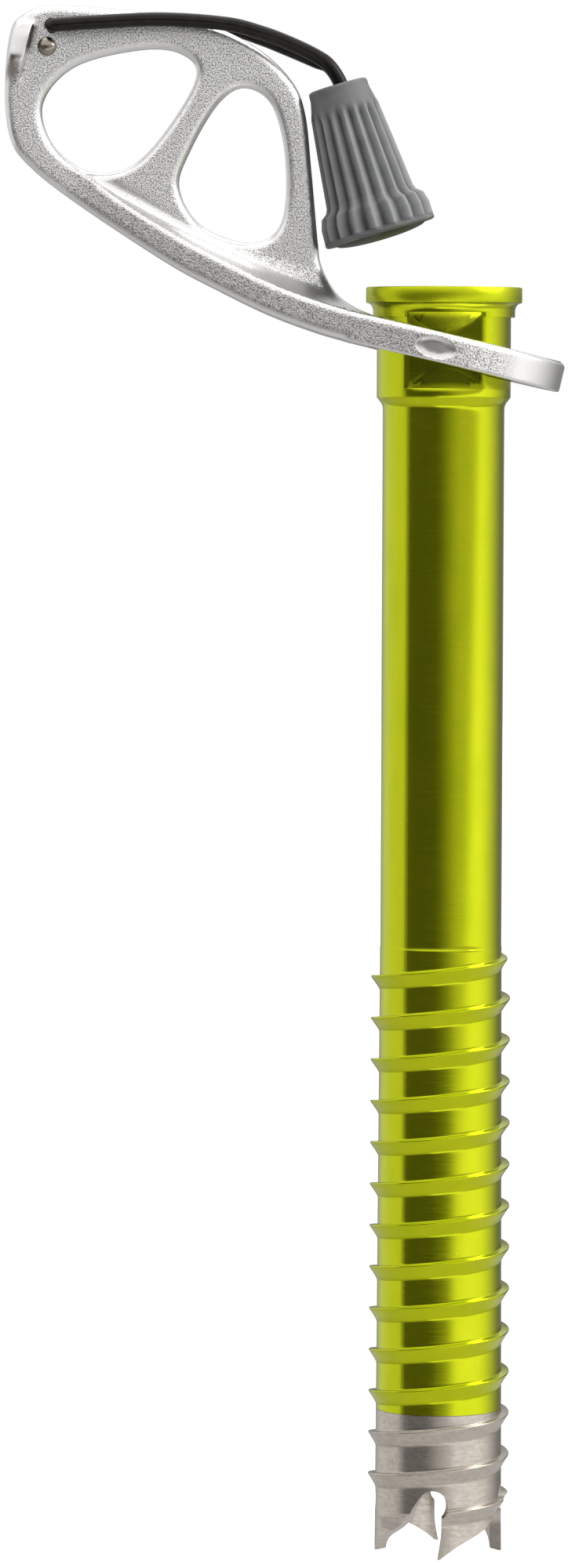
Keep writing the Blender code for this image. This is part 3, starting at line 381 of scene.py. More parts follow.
class NodeBoard:
    """Node tree of a material or the world, with short calls that add and join nodes."""

    def __init__(self, owner: bpy.types.Material | bpy.types.World, shader: str = "Principled BSDF") -> None:
        """Start with the owner's own shader.

        Args:
            owner: the material or world.
            shader: the name of its shader node.
        """
        owner.use_nodes = True
        self.owner = owner
        self.tree = owner.node_tree
        self.shader = self.tree.nodes[shader]

    def plain(self, **values: float | tuple) -> None:
        """Set values that are the same all over, on the shader's own sockets."""
        for socket, value in values.items():
            name = socket.replace("_", " ")
            self.shader.inputs[name].default_value = (*value, 1.0) if isinstance(value, tuple) else value

    def join(self, source: Socket, target: Socket) -> None:
        """Link one socket to another."""
        self.tree.links.new(source, target)

    def feed(self, source: Socket, socket: str) -> None:
        """Link a socket to one of the shader's inputs."""
        self.join(source, self.shader.inputs[socket])

    def add(self, kind: str, **values: float) -> bpy.types.Node:
        """Add a node and set some of its inputs, named with _ for each space.

        Args:
            kind: the node's type, without its usual first word.
            values: fixed values of its inputs.

        Returns:
            The new node.
        """
        node = self.tree.nodes.new("ShaderNode" + kind)
        for socket, value in values.items():
            node.inputs[socket.replace("_", " ")].default_value = value
        return node

    def ray(self, kind: str) -> Socket:
        """1 for one kind of ray, else 0."""
        return self.add("LightPath").outputs[kind]

    def coordinates(self, fine: tuple[float, float, float]) -> Socket:
        """Object coordinates in millimetres, times a fineness for each axis.

        Args:
            fine: how fine the pattern is along each axis.

        Returns:
            The coordinates.
        """
        source, mapping = self.add("TexCoord"), self.add("Mapping")
        mapping.inputs["Scale"].default_value = tuple(value / MM for value in fine)
        self.join(source.outputs["Object"], mapping.inputs["Vector"])
        return mapping.outputs["Vector"]

    def height(self) -> Socket:
        """Height of the shaded point in the frame, in millimetres."""
        split = self.add("SeparateXYZ")
        self.join(self.coordinates((1.0, 1.0, 1.0)), split.inputs["Vector"])
        return split.outputs["Z"]

    def noise(self, pattern: Pattern) -> Socket:
        """Cloudy noise about 0.5."""
        node = self.add("TexNoise", Scale=1.0, Detail=pattern.detail, Roughness=pattern.rough)
        self.join(self.coordinates(pattern.fine), node.inputs["Vector"])
        return node.outputs["Fac"]

    def cells(self, fine: float) -> Socket:
        """Distance to the nearest of many scattered seeds, in cells."""
        node = self.add("TexVoronoi", Scale=1.0)
        self.join(self.coordinates((fine, fine, fine)), node.inputs["Vector"])
        return node.outputs["Distance"]

    def spread(self, source: Socket, low: float, high: float, to_low: float, to_high: float) -> Socket:
        """Map a range of numbers to another, held at its ends."""
        node = self.add("MapRange", From_Min=low, From_Max=high, To_Min=to_low, To_Max=to_high)
        self.join(source, node.inputs["Value"])
        return node.outputs["Result"]

    def combine(self, first: Socket, second: Socket | float, how: Combine = Combine.ADD) -> Socket:
        """Combine two numbers; the second may be a fixed one.

        Args:
            first: the first number.
            second: the second number.
            how: how they are combined.

        Returns:
            The result.
        """
        node = self.add("Math")
        node.operation = how.value
        self.join(first, node.inputs[0])
        if isinstance(second, float):
            node.inputs[1].default_value = second
        else:
            self.join(second, node.inputs[1])
        return node.outputs["Value"]

    def part(self, source: Socket, share: float) -> Socket:
        """A fixed share of a number."""
        return self.combine(source, share, Combine.TIMES)

    def blend(self, share: Socket, first: Colour | Socket, second: Colour) -> Socket:
        """Blend from one colour to another by a share.

        Args:
            share: 0 for the first colour, 1 for the second.
            first: the first colour.
            second: the second colour.

        Returns:
            The blended colour.
        """
        node = self.add("Mix")
        node.data_type = "RGBA"
        self.join(share, node.inputs["Factor"])
        if isinstance(first, tuple):
            node.inputs["A"].default_value = (*first, 1.0)
        else:
            self.join(first, node.inputs["A"])
        node.inputs["B"].default_value = (*second, 1.0)
        return node.outputs["Result"]

    def stamped(self, name: str) -> Socket:
        """A number that the mesh carries at each point."""
        node = self.add("Attribute")
        node.attribute_name = name
        return node.outputs["Fac"]

    def relief(self, height: Socket, depth: float) -> None:
        """Bump the surface; depth is what a height of 1 stands for, in millimetres."""
        node = self.add("Bump", Strength=1.0, Distance=depth * MM)
        self.join(height, node.inputs["Height"])
        self.feed(node.outputs["Normal"], "Normal")


@dataclass(frozen=True)
class AnodisedGreen:
    """Gloss lime anodising over fine level turning marks, duller in the milled seats and darkened there by
    painted shade.
    """

    colour: Colour = (0.468, 0.508, 0.012)
    deep: Colour = (0.412, 0.474, 0.009)
    # colour of the seats: partly their milled finish, mostly painted shade
    milled_and_shade_colour: Colour = (0.070, 0.080, 0.004)
    speck: Colour = (0.900, 0.880, 0.500)
    marks: Pattern = Pattern((0.25, 0.25, 9.0), 3.0, 0.6)
    chatter: Pattern = Pattern((5.0, 5.0, 0.8), 1.0)
    cloud: Pattern = Pattern((0.3, 0.3, 0.12))
    dust: float = 0.55
    dust_size: tuple[float, float] = (0.035, 0.020)
    roughness: tuple[float, float] = (0.14, 0.22)
    milled_roughness: float = 0.10
    flange_level: float = 13.90
    flange_roughness: float = 0.16
    mark_depth: float = 0.0012

    def build(self) -> bpy.types.Material:
        """Make the material.

        Returns:
            The material.
        """
        board = NodeBoard(bpy.data.materials.new("anodised_green"))
        board.plain(Metallic=1.0)
        marks, pocket = board.noise(self.marks), board.stamped("pocket")
        shade = board.combine(board.part(marks, 0.35), board.part(board.noise(self.cloud), 0.65))
        colour = board.blend(board.spread(shade, 0.35, 0.65, 0.0, 1.0), self.deep, self.colour)
        # painted shade: the seats go much darker than their milled finish alone would make them
        colour = board.blend(pocket, colour, self.milled_and_shade_colour)
        dust = board.spread(board.cells(self.dust), *self.dust_size, 0.0, 1.0)
        board.feed(board.blend(dust, colour, self.speck), "Base Color")
        rough = board.spread(marks, *NOISE_SPAN, *self.roughness)
        rough = board.combine(rough, board.part(pocket, self.milled_roughness))
        level = self.flange_level
        flange = board.spread(board.height(), level, level + 0.4, 0.0, self.flange_roughness)
        board.feed(board.combine(rough, flange), "Roughness")
        hatch = board.spread(pocket, 0.0, 1.0, 1.0, 3.0)
        hatch = board.combine(board.part(board.noise(self.chatter), 0.9), hatch, Combine.TIMES)
        board.relief(board.combine(marks, hatch), self.mark_depth)
        return board.owner


@dataclass(frozen=True)
class TurnedSteel:
    """Warm grey machined steel with level tool marks and faint stains."""

    colour: Colour = (0.490, 0.450, 0.402)
    stain: Colour = (0.385, 0.346, 0.298)
    marks: Pattern = Pattern((0.12, 0.12, 7.5), 4.0, 0.7)
    lines: Pattern = Pattern((0.45, 0.45, 13.0))
    mottle: Pattern = Pattern((0.9, 0.9, 1.8), 4.0, 0.6)
    roughness: tuple[float, float] = (0.33, 0.23)
    mark_depth: float = 0.0035

    def build(self) -> bpy.types.Material:
        """Make the material.

        Returns:
            The material.
        """
        board = NodeBoard(bpy.data.materials.new("turned_steel"))
        board.plain(Metallic=1.0)
        marks, mottle = board.noise(self.marks), board.noise(self.mottle)
        shade = board.combine(board.part(mottle, 0.45), board.part(marks, 0.55))
        shade = board.spread(shade, 0.38, 0.60, 0.0, 1.0)
        board.feed(board.blend(shade, self.stain, self.colour), "Base Color")
        board.feed(board.spread(mottle, *NOISE_SPAN, *self.roughness), "Roughness")
        board.relief(board.combine(marks, board.part(board.noise(self.lines), 0.45)), self.mark_depth)
        return board.owner


@dataclass(frozen=True)
class BlastedForging:
    """Silver forging with a fine blasted grain, smooth where edges are rubbed, with painted shade beside the
    lug and along the rib.
    """

    colour: Colour = (0.640, 0.632, 0.622)
    hollow: Colour = (0.200, 0.196, 0.190)
    # dark colour of the painted shade on the forging
    painted_shade: Colour = (0.120, 0.100, 0.085)
    coarse: Pattern = Pattern((4.3, 4.3, 4.3), 1.5, 0.55)
    fine: Pattern = Pattern((9.0, 9.0, 9.0), 1.0)
    pit_span: tuple[float, float] = (0.52, 0.74)
    grain_depth: float = 0.135
    smooth_share: float = 0.04
    roughness: tuple[float, float] = (0.30, 0.35)

    def build(self) -> bpy.types.Material:
        """Make the material.

        Returns:
            The material.
        """
        board = NodeBoard(bpy.data.materials.new("blasted_forging"))
        board.plain(Metallic=1.0)
        grain = board.stamped("grain")
        height = board.combine(board.noise(self.coarse), board.part(board.noise(self.fine), 0.35))
        pits = board.combine(board.spread(height, *self.pit_span, 1.0, 0.0), grain, Combine.TIMES)
        metal = board.blend(pits, self.colour, self.hollow)
        # painted shade: darkens the metal beside the lug, on it, below its foot and along the rib
        board.feed(board.blend(board.stamped("painted_shade"), metal, self.painted_shade), "Base Color")
        board.feed(board.spread(grain, 0.0, 1.0, *self.roughness), "Roughness")
        share = board.spread(grain, 0.0, 1.0, self.smooth_share, 1.0)
        board.relief(board.combine(height, share, Combine.TIMES), self.grain_depth)
        return board.owner


@dataclass(frozen=True)
class CoatedWire:
    """Black plastic coat over spring steel, gloss with a soft waviness."""

    colour: Colour = (0.008, 0.007, 0.006)
    worn: Colour = (0.016, 0.014, 0.012)
    cloud: Pattern = Pattern((0.5, 0.5, 0.5), 3.0)
    waves: Pattern = Pattern((1.2, 1.2, 1.2), 3.0)
    roughness: tuple[float, float] = (0.18, 0.31)
    refraction: float = 1.25
    wave_depth: float = 0.012

    def build(self) -> bpy.types.Material:
        """Make the material.

        Returns:
            The material.
        """
        board = NodeBoard(bpy.data.materials.new("coated_wire"))
        board.plain(Metallic=0.0, IOR=self.refraction)
        cloud = board.noise(self.cloud)
        wear = board.spread(cloud, 0.4, 0.7, 0.0, 1.0)
        board.feed(board.blend(wear, self.colour, self.worn), "Base Color")
        board.feed(board.spread(cloud, *NOISE_SPAN, *self.roughness), "Roughness")
        board.relief(board.noise(self.waves), self.wave_depth)
        return board.owner


@dataclass(frozen=True)
class MouldedGrip:
    """Matte grey moulded rubber, paler on its ridges and much darker down the flute valleys: partly rubbed
    wear, partly painted shade.
    """

    colour: Colour = (0.036, 0.037, 0.039)
    worn_and_lit_ridge: Colour = (0.285, 0.288, 0.292)
    cloud: Pattern = Pattern((0.35, 0.35, 0.35), 3.0)
    grain: Pattern = Pattern((5.0, 5.0, 5.0))
    cloud_share: float = 0.10
    roughness: tuple[float, float] = (0.52, 0.64)
    refraction: float = 1.46
    grain_depth: float = 0.040

    def build(self) -> bpy.types.Material:
        """Make the material.

        Returns:
            The material.
        """
        board = NodeBoard(bpy.data.materials.new("moulded_grip"))
        board.plain(Metallic=0.0, IOR=self.refraction)
        cloud = board.noise(self.cloud)
        uneven = board.spread(cloud, *NOISE_SPAN, -self.cloud_share, self.cloud_share)
        # painted shade: the flute valleys go near black and the ridges pale, partly rubbed wear, partly
        # painted shade in the valleys
        ridge = board.spread(board.combine(board.stamped("ridge"), uneven), 0.1, 1.0, 0.0, 1.0)
        board.feed(board.blend(ridge, self.colour, self.worn_and_lit_ridge), "Base Color")
        board.feed(board.spread(cloud, *NOISE_SPAN, *self.roughness), "Roughness")
        board.relief(board.noise(self.grain), self.grain_depth)
        return board.owner


@dataclass(frozen=True)
class BrightSteel:
    """Polished steel of the small fittings, with a few fine scratches."""

    colour: Colour = (0.300, 0.270, 0.230)
    dull: Colour = (0.180, 0.158, 0.128)
    cloud: Pattern = Pattern((1.5, 1.5, 1.5), 3.0)
    scratches: Pattern = Pattern((0.6, 8.0, 8.0))
    roughness: tuple[float, float] = (0.20, 0.32)
    scratch_depth: float = 0.002

    def build(self) -> bpy.types.Material:
        """Make the material.

        Returns:
            The material.
        """
        board = NodeBoard(bpy.data.materials.new("bright_steel"))
        board.plain(Metallic=1.0)
        cloud = board.noise(self.cloud)
        board.feed(board.blend(cloud, self.dull, self.colour), "Base Color")
        board.feed(board.spread(cloud, *NOISE_SPAN, *self.roughness), "Roughness")
        board.relief(board.noise(self.scratches), self.scratch_depth)
        return board.owner


# Screw: the tube and its cutting tip

@dataclass
class Screw:
    """Threaded tube with its rocking seats, and the toothed steel tip."""

    columns: int = 200
    shaft_radius: float = 9.03
    bore_radius: float = 7.30
    bore_chamfer: float = 0.50
    flange_radius: float = 11.60
    flange_top: float = 16.40
    flange_bottom: float = 14.05
    collar_radius: float = 10.55
    collar_bottom: float = 12.00
    fillet_drop: float = 1.25
    fillet_step: float = 0.12
    head_radius: float = 9.95
    shaft_end: float = -81.70
    shaft_rows: tuple[float, ...] = (-2.6, -28.0, -55.0)
    rock_height: float = 7.00
    seat_flat: float = 8.20
    seat_gap: float = 2.75
    seat_flare: float = 1.64
    pitch: float = 6.22
    thread_top: float = -82.70
    thread_angle: float = 20.0
    thread_turns: float = 13.50
    crest_first: float = 10.37
    crest_last: float = 10.55
    root_first: float = 9.08
    root_last: float = 9.48
    land: float = 0.25
    flank: float = 1.80
    run_out: float = 40.0
    joint: float = -151.05
    tip_end: float = -172.55
    tip_bore: float = 7.80
    spigot_length: float = 9.00
    spigot_radius: float = 8.15
    fit: float = 0.15
    seam: float = 0.05
    tooth_count: int = 4
    tooth_angle: float = 268.4
    tooth_face: Profile = ((0.0, 0.0), (0.62, 3.30), (0.68, 6.00))
    tooth_back: Profile = ((0.35, 0.0), (1.7, 1.0), (4.0, 2.4), (8.0, 4.2), (9.9, 5.7), (11.2, 7.8))
    gullet_centre: tuple[float, float] = (-0.75, 8.00)
    gullet_radius: float = 2.25
    gullet_span: tuple[float, float] = (-50.0, 145.0)
    gap_floor: float = -3.0
    bevel: float = 0.34
    bevel_width: float = 1.30
    bore_step: float = 2.0
    # shares of milled finish and painted shade in the upper and lower seats
    milled_and_shade_share: tuple[float, float] = (0.72, 0.85)

    def angles(self) -> np.ndarray:
        """Angle of each column in degrees, falling from the thread's start.

        Two columns close in on each side edge of the seats, so that the edge
        stays crisp.

        Returns:
            The angles, one for each column.
        """
        even = self.thread_angle - 360.0 * np.arange(self.columns) / self.columns
        half = math.degrees(math.acos(self.seat_flat / self.head_radius))
        for middle in (90.0, -90.0):
            for edge in (middle - half, middle + half):
                target = edge - 360.0 if edge > self.thread_angle else edge
                below = int(np.searchsorted(-even, -target))
                even[below - 1] = target + 0.05
                even[below] = target - 0.05
        return even

    def radii(self, height: np.ndarray) -> tuple[np.ndarray, np.ndarray]:
        """Root and crest radius of the thread, which grow towards the teeth."""
        share = np.clip((self.thread_top - height) / (self.thread_top - self.tip_end), 0.0, 1.0)
        root = self.root_first + (self.root_last - self.root_first) * share
        return root, self.crest_first + (self.crest_last - self.crest_first) * share

    def thread_section(self) -> np.ndarray:
        """Section of the thread across one pitch.

        Each row is (drop below the upper flank, share of the crest's height,
        radius to add in millimetres).

        Returns:
            An array with three numbers in each row.
        """
        end = self.land + self.flank
        return np.array([
            (-0.42, 0.0, 0.0), (-0.14, 0.0, 0.0), (-0.04, 0.0, 0.04), (0.0, 0.0, 0.14), (0.0, 1.0, -0.10),
            (0.03, 1.0, -0.03), (0.09, 1.0, 0.0),
            (self.land - 0.03, 1.0, 0.0), (self.land + 0.04, 1.0, -0.03),
            (self.land + 0.34 * self.flank, 0.66, -0.02), (self.land + 0.67 * self.flank, 0.33, -0.02),
            (end - 0.10, 0.04, 0.03), (end + 0.10, 0.0, 0.01), (end + 0.35, 0.0, 0.0),
            (end + 0.62, 0.0, 0.0),
        ])

    def helix(self) -> np.ndarray:
        """Points of the thread, wound down the screw.

        Formula: at turn angle a, the section's point with drop d stands at
        height top - pitch * a / 360 - d, at the root's radius plus its share of
        the crest, faded in and out over the run-out.

        Returns:
            An array of shape (steps + 1, section points, 3).
        """
        steps = round(self.thread_turns * self.columns)
        index = np.arange(steps + 1)
        angle = self.angles()[index % self.columns] - 360.0 * (index // self.columns)
        wound = self.thread_angle - angle
        section = self.thread_section()
        height = self.thread_top - self.pitch * wound[:, None] / 360.0 - section[None, :, 0]
        root, crest = self.radii(height)
        rise = np.minimum(1.0, np.minimum(wound, wound[-1] - wound) / self.run_out)[:, None]
        radius = root + ((crest - root) * section[None, :, 1] + section[None, :, 2]) * rise
        return around(radius, np.radians(angle)[:, None], height)

    def ring_rows(self, profile: Profile | np.ndarray) -> np.ndarray:
        """Level rings on the screw's own columns, as an array (rows, columns, 3)."""
        section = np.array(profile, dtype=float)
        return around(section[:, :1], np.radians(self.angles()), section[:, 1:])

    def seat_rows(self) -> np.ndarray:
        """Rings round the head, which dip into the two rocking seats.

        Formula: on the flat the radius is flat / cos(d), with d the angle from
        the seat's middle; on the walls it grows from there to the head's radius
        along a cone. The rows follow the crease between flat and wall, so they
        bend with it.

        Returns:
            An array of shape (rows, columns, 3), from the collar down.
        """
        angle, head = self.angles(), self.head_radius
        flat = self.seat_flat / np.cos(np.radians(np.abs((angle % 180.0) - 90.0)))
        seat = flat < head
        inner = np.where(seat, flat, head)
        whole = np.full_like(inner, head)
        rim = self.seat_gap + (head - self.seat_flat) * self.seat_flare
        lower = np.minimum(self.seat_gap + (inner - self.seat_flat) * self.seat_flare, rim)
        under = np.where(seat, rim, self.collar_bottom - self.rock_height - 0.04)
        upper = np.minimum(lower, under - 0.03)
        walls, flats = (0.04, 0.35, 0.65, 0.96), (0.2, 0.4, 0.6, 0.8, 0.99)
        rows = [(under, np.full_like(inner, self.collar_radius)), (under, whole)]
        rows += [(under + (upper - under) * share, head + (inner - head) * share) for share in walls]
        rows += [(upper * share, inner) for share in (*flats[::-1], 0.0)]
        rows += [(-lower * share, inner) for share in flats]
        rows += [(-(rim + (lower - rim) * share), head + (inner - head) * share) for share in walls[::-1]]
        rows.append((np.full_like(inner, -rim - 0.04), whole))
        height, radius = np.swapaxes(np.array(rows), 0, 1)
        return around(radius, np.radians(angle), self.rock_height + height)

    def skin(self, above: np.ndarray, below: np.ndarray) -> Shape:
        """Join level rings, the wound thread and more rings into one open skin.

        Args:
            above: rings above the thread, as (rows, columns, 3).
            below: rings below it.

        Returns:
            Points in millimetres, and faces.
        """
        wound = self.helix()
        steps, across = wound.shape[0] - 1, wound.shape[1]
        count = self.columns
        first = above.shape[0] * count
        after = first + wound.shape[0] * across
        points = np.concatenate([above.reshape(-1, 3), wound.reshape(-1, 3), below.reshape(-1, 3)])
        faces = grid_faces(above.shape[0], count).tolist()
        faces += grid_faces(below.shape[0], count, after).tolist()
        index = first + np.arange((steps + 1) * across).reshape(steps + 1, across)
        bands = [index[:-1, :-1], index[1:, :-1], index[1:, 1:], index[:-1, 1:]]
        faces += np.stack(bands, axis=-1).reshape(-1, 4).tolist()
        held = steps - count
        roots = [index[:held, -1], index[1:held + 1, -1], index[count + 1:, 0], index[count:-1, 0]]
        faces += np.stack(roots, axis=-1).reshape(-1, 4).tolist()
        ring = first - count + np.arange(count)
        start = [ring[:-1], ring[1:], index[1:count, 0], index[:count - 1, 0]]
        faces += np.stack(start, axis=-1).reshape(-1, 4).tolist()
        joint = [ring[-1], ring[0], *index[0], index[count, 0], index[count - 1, 0]]
        faces.append([int(point) for point in joint])
        order = (np.arange(count) + steps) % count
        foot = after + order
        tail = index[held:, -1]
        end = [tail[1:-1], tail[2:], foot[2:], foot[1:-1]]
        end = [part[:count - 2] for part in end]
        faces += np.stack(end, axis=-1).reshape(-1, 4).tolist()
        faces.append([int(tail[-2]), int(tail[-1]), int(foot[0]), int(foot[count - 1])])
        faces.append([int(tail[0]), int(tail[1]), int(foot[1]), int(foot[0]), *index[steps, ::-1].tolist()])
        return points, faces

    def tube_mesh(self) -> bpy.types.Mesh:
        """Bore, flange, collar, head, plain shaft and the thread down to the joint.

        Returns:
            The closed mesh.
        """
        flange, head, shaft = self.flange_radius, self.head_radius, self.shaft_radius
        top, under, bore = self.flange_top, self.flange_bottom, self.bore_radius
        recess, floor = self.spigot_radius + self.fit, self.joint + self.spigot_length + self.fit
        rim = [
            (recess, self.joint), (recess, floor), (bore, floor), (bore, top - self.bore_chamfer),
            (bore + self.bore_chamfer, top), (flange - 0.25, top), (flange - 0.07, top - 0.07),
            (flange, top - 0.25), (flange, under + 0.14), (flange - 0.05, under + 0.04),
        ]
        turn = np.radians(np.linspace(90.0, 180.0, 11))
        fillet = flange - self.collar_radius - self.fillet_step
        across = self.collar_radius + fillet * (1.0 + np.cos(turn))
        rim += np.stack([across, under - self.fillet_drop * (1.0 - np.sin(turn))], axis=1).tolist()
        rim += [(self.collar_radius, self.collar_bottom + 0.68)]
        shoulder = [
            (head, 0.12), (head - 0.05, 0.0), (head - 0.52, -0.60), (head - 0.70, -0.86),
            (shaft + 0.08, -1.18), (shaft + 0.02, -1.50), (shaft, -1.95),
            *((shaft, level) for level in (*self.shaft_rows, self.shaft_end + 0.6, self.shaft_end)),
            (self.root_first, self.shaft_end - 0.10), (self.root_first, self.shaft_end - 0.40),
        ]
        above = np.concatenate([self.ring_rows(rim), self.seat_rows(), self.ring_rows(shoulder)])
        below = self.ring_rows([(self.root_last, self.tip_end)])
        cut = partial(cut_level, height=self.joint, keep_above=True)
        return rework(new_mesh("tube_skin", *self.skin(above, below)), cut, fill_rims, face_outwards)

    def gap_outline(self) -> np.ndarray:
        """One gap of the crown, unrolled, from a tooth's face to the next one's back.

        Returns:
            Points (length along the rim, height above the tip's end).
        """
        quarter = math.tau * self.root_last / self.tooth_count
        back = curve_through(self.tooth_back, 8)[::-1] - (quarter, 0.0)
        heel = self.tooth_back[0][0] - quarter
        floor = np.stack([np.linspace(heel, 0.0, 24)[:-1], np.full(23, self.gap_floor)], axis=1)
        face = curve_through(self.tooth_face, 4)
        gullet = arc(self.gullet_centre, self.gullet_radius, *self.gullet_span, 30)
        return np.concatenate([[(0.0, self.gap_floor)], face, gullet, back, floor])

    def wrap(self, outline: np.ndarray, radius: float, angle: float) -> np.ndarray:
        """Wrap an unrolled outline round the axis at a radius.

        Formula: a length s along the rim becomes the angle s / root radius.

        Args:
            outline: points (length along the rim, height above the tip's end).
            radius: distance from the axis.
            angle: where the outline's zero stands, in degrees.

        Returns:
            Points in space, one row each.
        """
        turn = math.radians(angle) + outline[:, 0] / self.root_last
        return around(radius, turn, self.tip_end + outline[:, 1])

    def tip_mesh(self) -> bpy.types.Mesh:
        """Spigot, last turns of the thread, bore and the crown of teeth.

        Returns:
            The closed mesh.
        """
        inner, end, step = self.tip_bore, self.tip_end, self.joint - self.bore_step
        below = self.ring_rows([
            (self.root_last, end), (inner + self.bevel_width, end), (inner, end + self.bevel), (inner, step),
        ])
        above = self.ring_rows([(self.root_first, self.thread_top + 1.0)])
        gaps = []
        for tooth in range(self.tooth_count):
            place = partial(self.wrap, angle=self.tooth_angle + 360.0 * tooth / self.tooth_count)
            radii = (0.5 * self.tip_bore, self.root_last, 2.0 * self.crest_last)
            gaps.append(prism(self.gap_outline(), place, radii))
        return carve(self.tip_blank(self.skin(above, below)), join_shapes(gaps))

    def tip_blank(self, skin: Shape) -> bpy.types.Mesh:
        """Cut a skin below the joint and close it with the spigot.

        Args:
            skin: the thread's skin, whose last ring stands in the bore.

        Returns:
            The closed tip, still without its teeth.
        """
        level, top = self.joint - self.seam, self.joint + self.spigot_length - self.seam
        cut = rework(new_mesh("tip_skin", *skin), partial(cut_level, height=level, keep_above=False))
        bore, outer = self.bore_radius, self.spigot_radius
        rings = self.ring_rows([
            (self.tip_bore, self.joint - self.bore_step), (bore, self.joint), (bore, top), (outer - 0.3, top),
            (outer, top - 0.3), (outer, top + self.seam - 1.0), (outer, level),
        ])
        kept = coordinates(cut)
        faces = [list(polygon.vertices) for polygon in cut.polygons]
        faces += grid_faces(len(rings), self.columns, len(kept)).tolist()
        points = np.concatenate([kept, rings.reshape(-1, 3)])
        return rework(new_mesh("tip_blank", points, faces), weld, fill_rims, face_outwards)

    def pocket(self, points: np.ndarray) -> np.ndarray:
        """Share of milled surface and painted shade at each point, above 0 inside the two rocking seats.

        Args:
            points: points of the tube, one row each.

        Returns:
            A share for each.
        """
        radius = np.hypot(points[:, 0], points[:, 1])
        level = np.abs(points[:, 2] - self.rock_height) < self.collar_bottom - self.rock_height - 0.02
        sunk = (radius < self.head_radius - 0.01) & (radius > self.seat_flat - 0.02)
        # painted shade: the lower seat, under the hanger's ring, gets more than the upper one under the
        # flange
        upper, lower = self.milled_and_shade_share
        return (level & sunk) * np.where(points[:, 2] > self.rock_height, upper, lower)

    def build(self, green: bpy.types.Material, steel: bpy.types.Material) -> None:
        """Make the tube and the tip.

        Args:
            green: the tube's finish.
            steel: the tip's finish.
        """
        tube = self.tube_mesh()
        stamp(tube, "pocket", self.pocket(coordinates(tube)))
        place_piece("anodised_tube", tube, green, "screw", "tube", 28.0)
        place_piece("toothed_tip", self.tip_mesh(), steel, "screw", "cutter_tip", 28.0)


# Hanger

def inside(points: np.ndarray, polygon: np.ndarray) -> np.ndarray:
    """Tell which points lie inside a polygon, by the even-odd rule.

    Args:
        points: places to test, one row each.
        polygon: its corners in order.

    Returns:
        True for each point inside.
    """
    x, y = points[:, 0:1], points[:, 1:2]
    ax, ay = polygon[:, 0], polygon[:, 1]
    bx, by = np.roll(ax, -1), np.roll(ay, -1)
    crosses = (ay > y) != (by > y)
    where = (bx - ax) * (y - ay) / np.where(by == ay, 1e-12, by - ay) + ax
    return (np.sum(crosses & (x < where), axis=1) % 2) == 1


def distance_to(points: np.ndarray, polygon: np.ndarray, closed: bool = True) -> np.ndarray:
    """Least distance from each point to a polygon's edges.

    Args:
        points: places to measure from, one row each.
        polygon: its corners in order.
        closed: whether the last corner joins the first.

    Returns:
        A distance for each point.
    """
    start = polygon if closed else polygon[:-1]
    run = (np.roll(polygon, -1, axis=0) if closed else polygon[1:]) - start
    length = np.maximum(np.sum(run ** 2, axis=1), 1e-12)
    result = np.empty(len(points))
    for first in range(0, len(points), 4000):
        offset = points[first:first + 4000, None, :] - start[None, :, :]
        share = np.clip(np.sum(offset * run, axis=2) / length, 0.0, 1.0)
        gap = offset - share[:, :, None] * run[None, :, :]
        result[first:first + 4000] = np.sqrt(np.min(np.sum(gap ** 2, axis=2), axis=1))
    return result


def rounded(distance: np.ndarray, radius: np.ndarray | float) -> np.ndarray:
    """Fall of a rounded edge: r - sqrt(r*r - (r - d)**2) at a distance d from it."""
    inner = np.clip(radius - distance, 0.0, radius)
    return radius - np.sqrt(np.maximum(radius ** 2 - inner ** 2, 0.0))


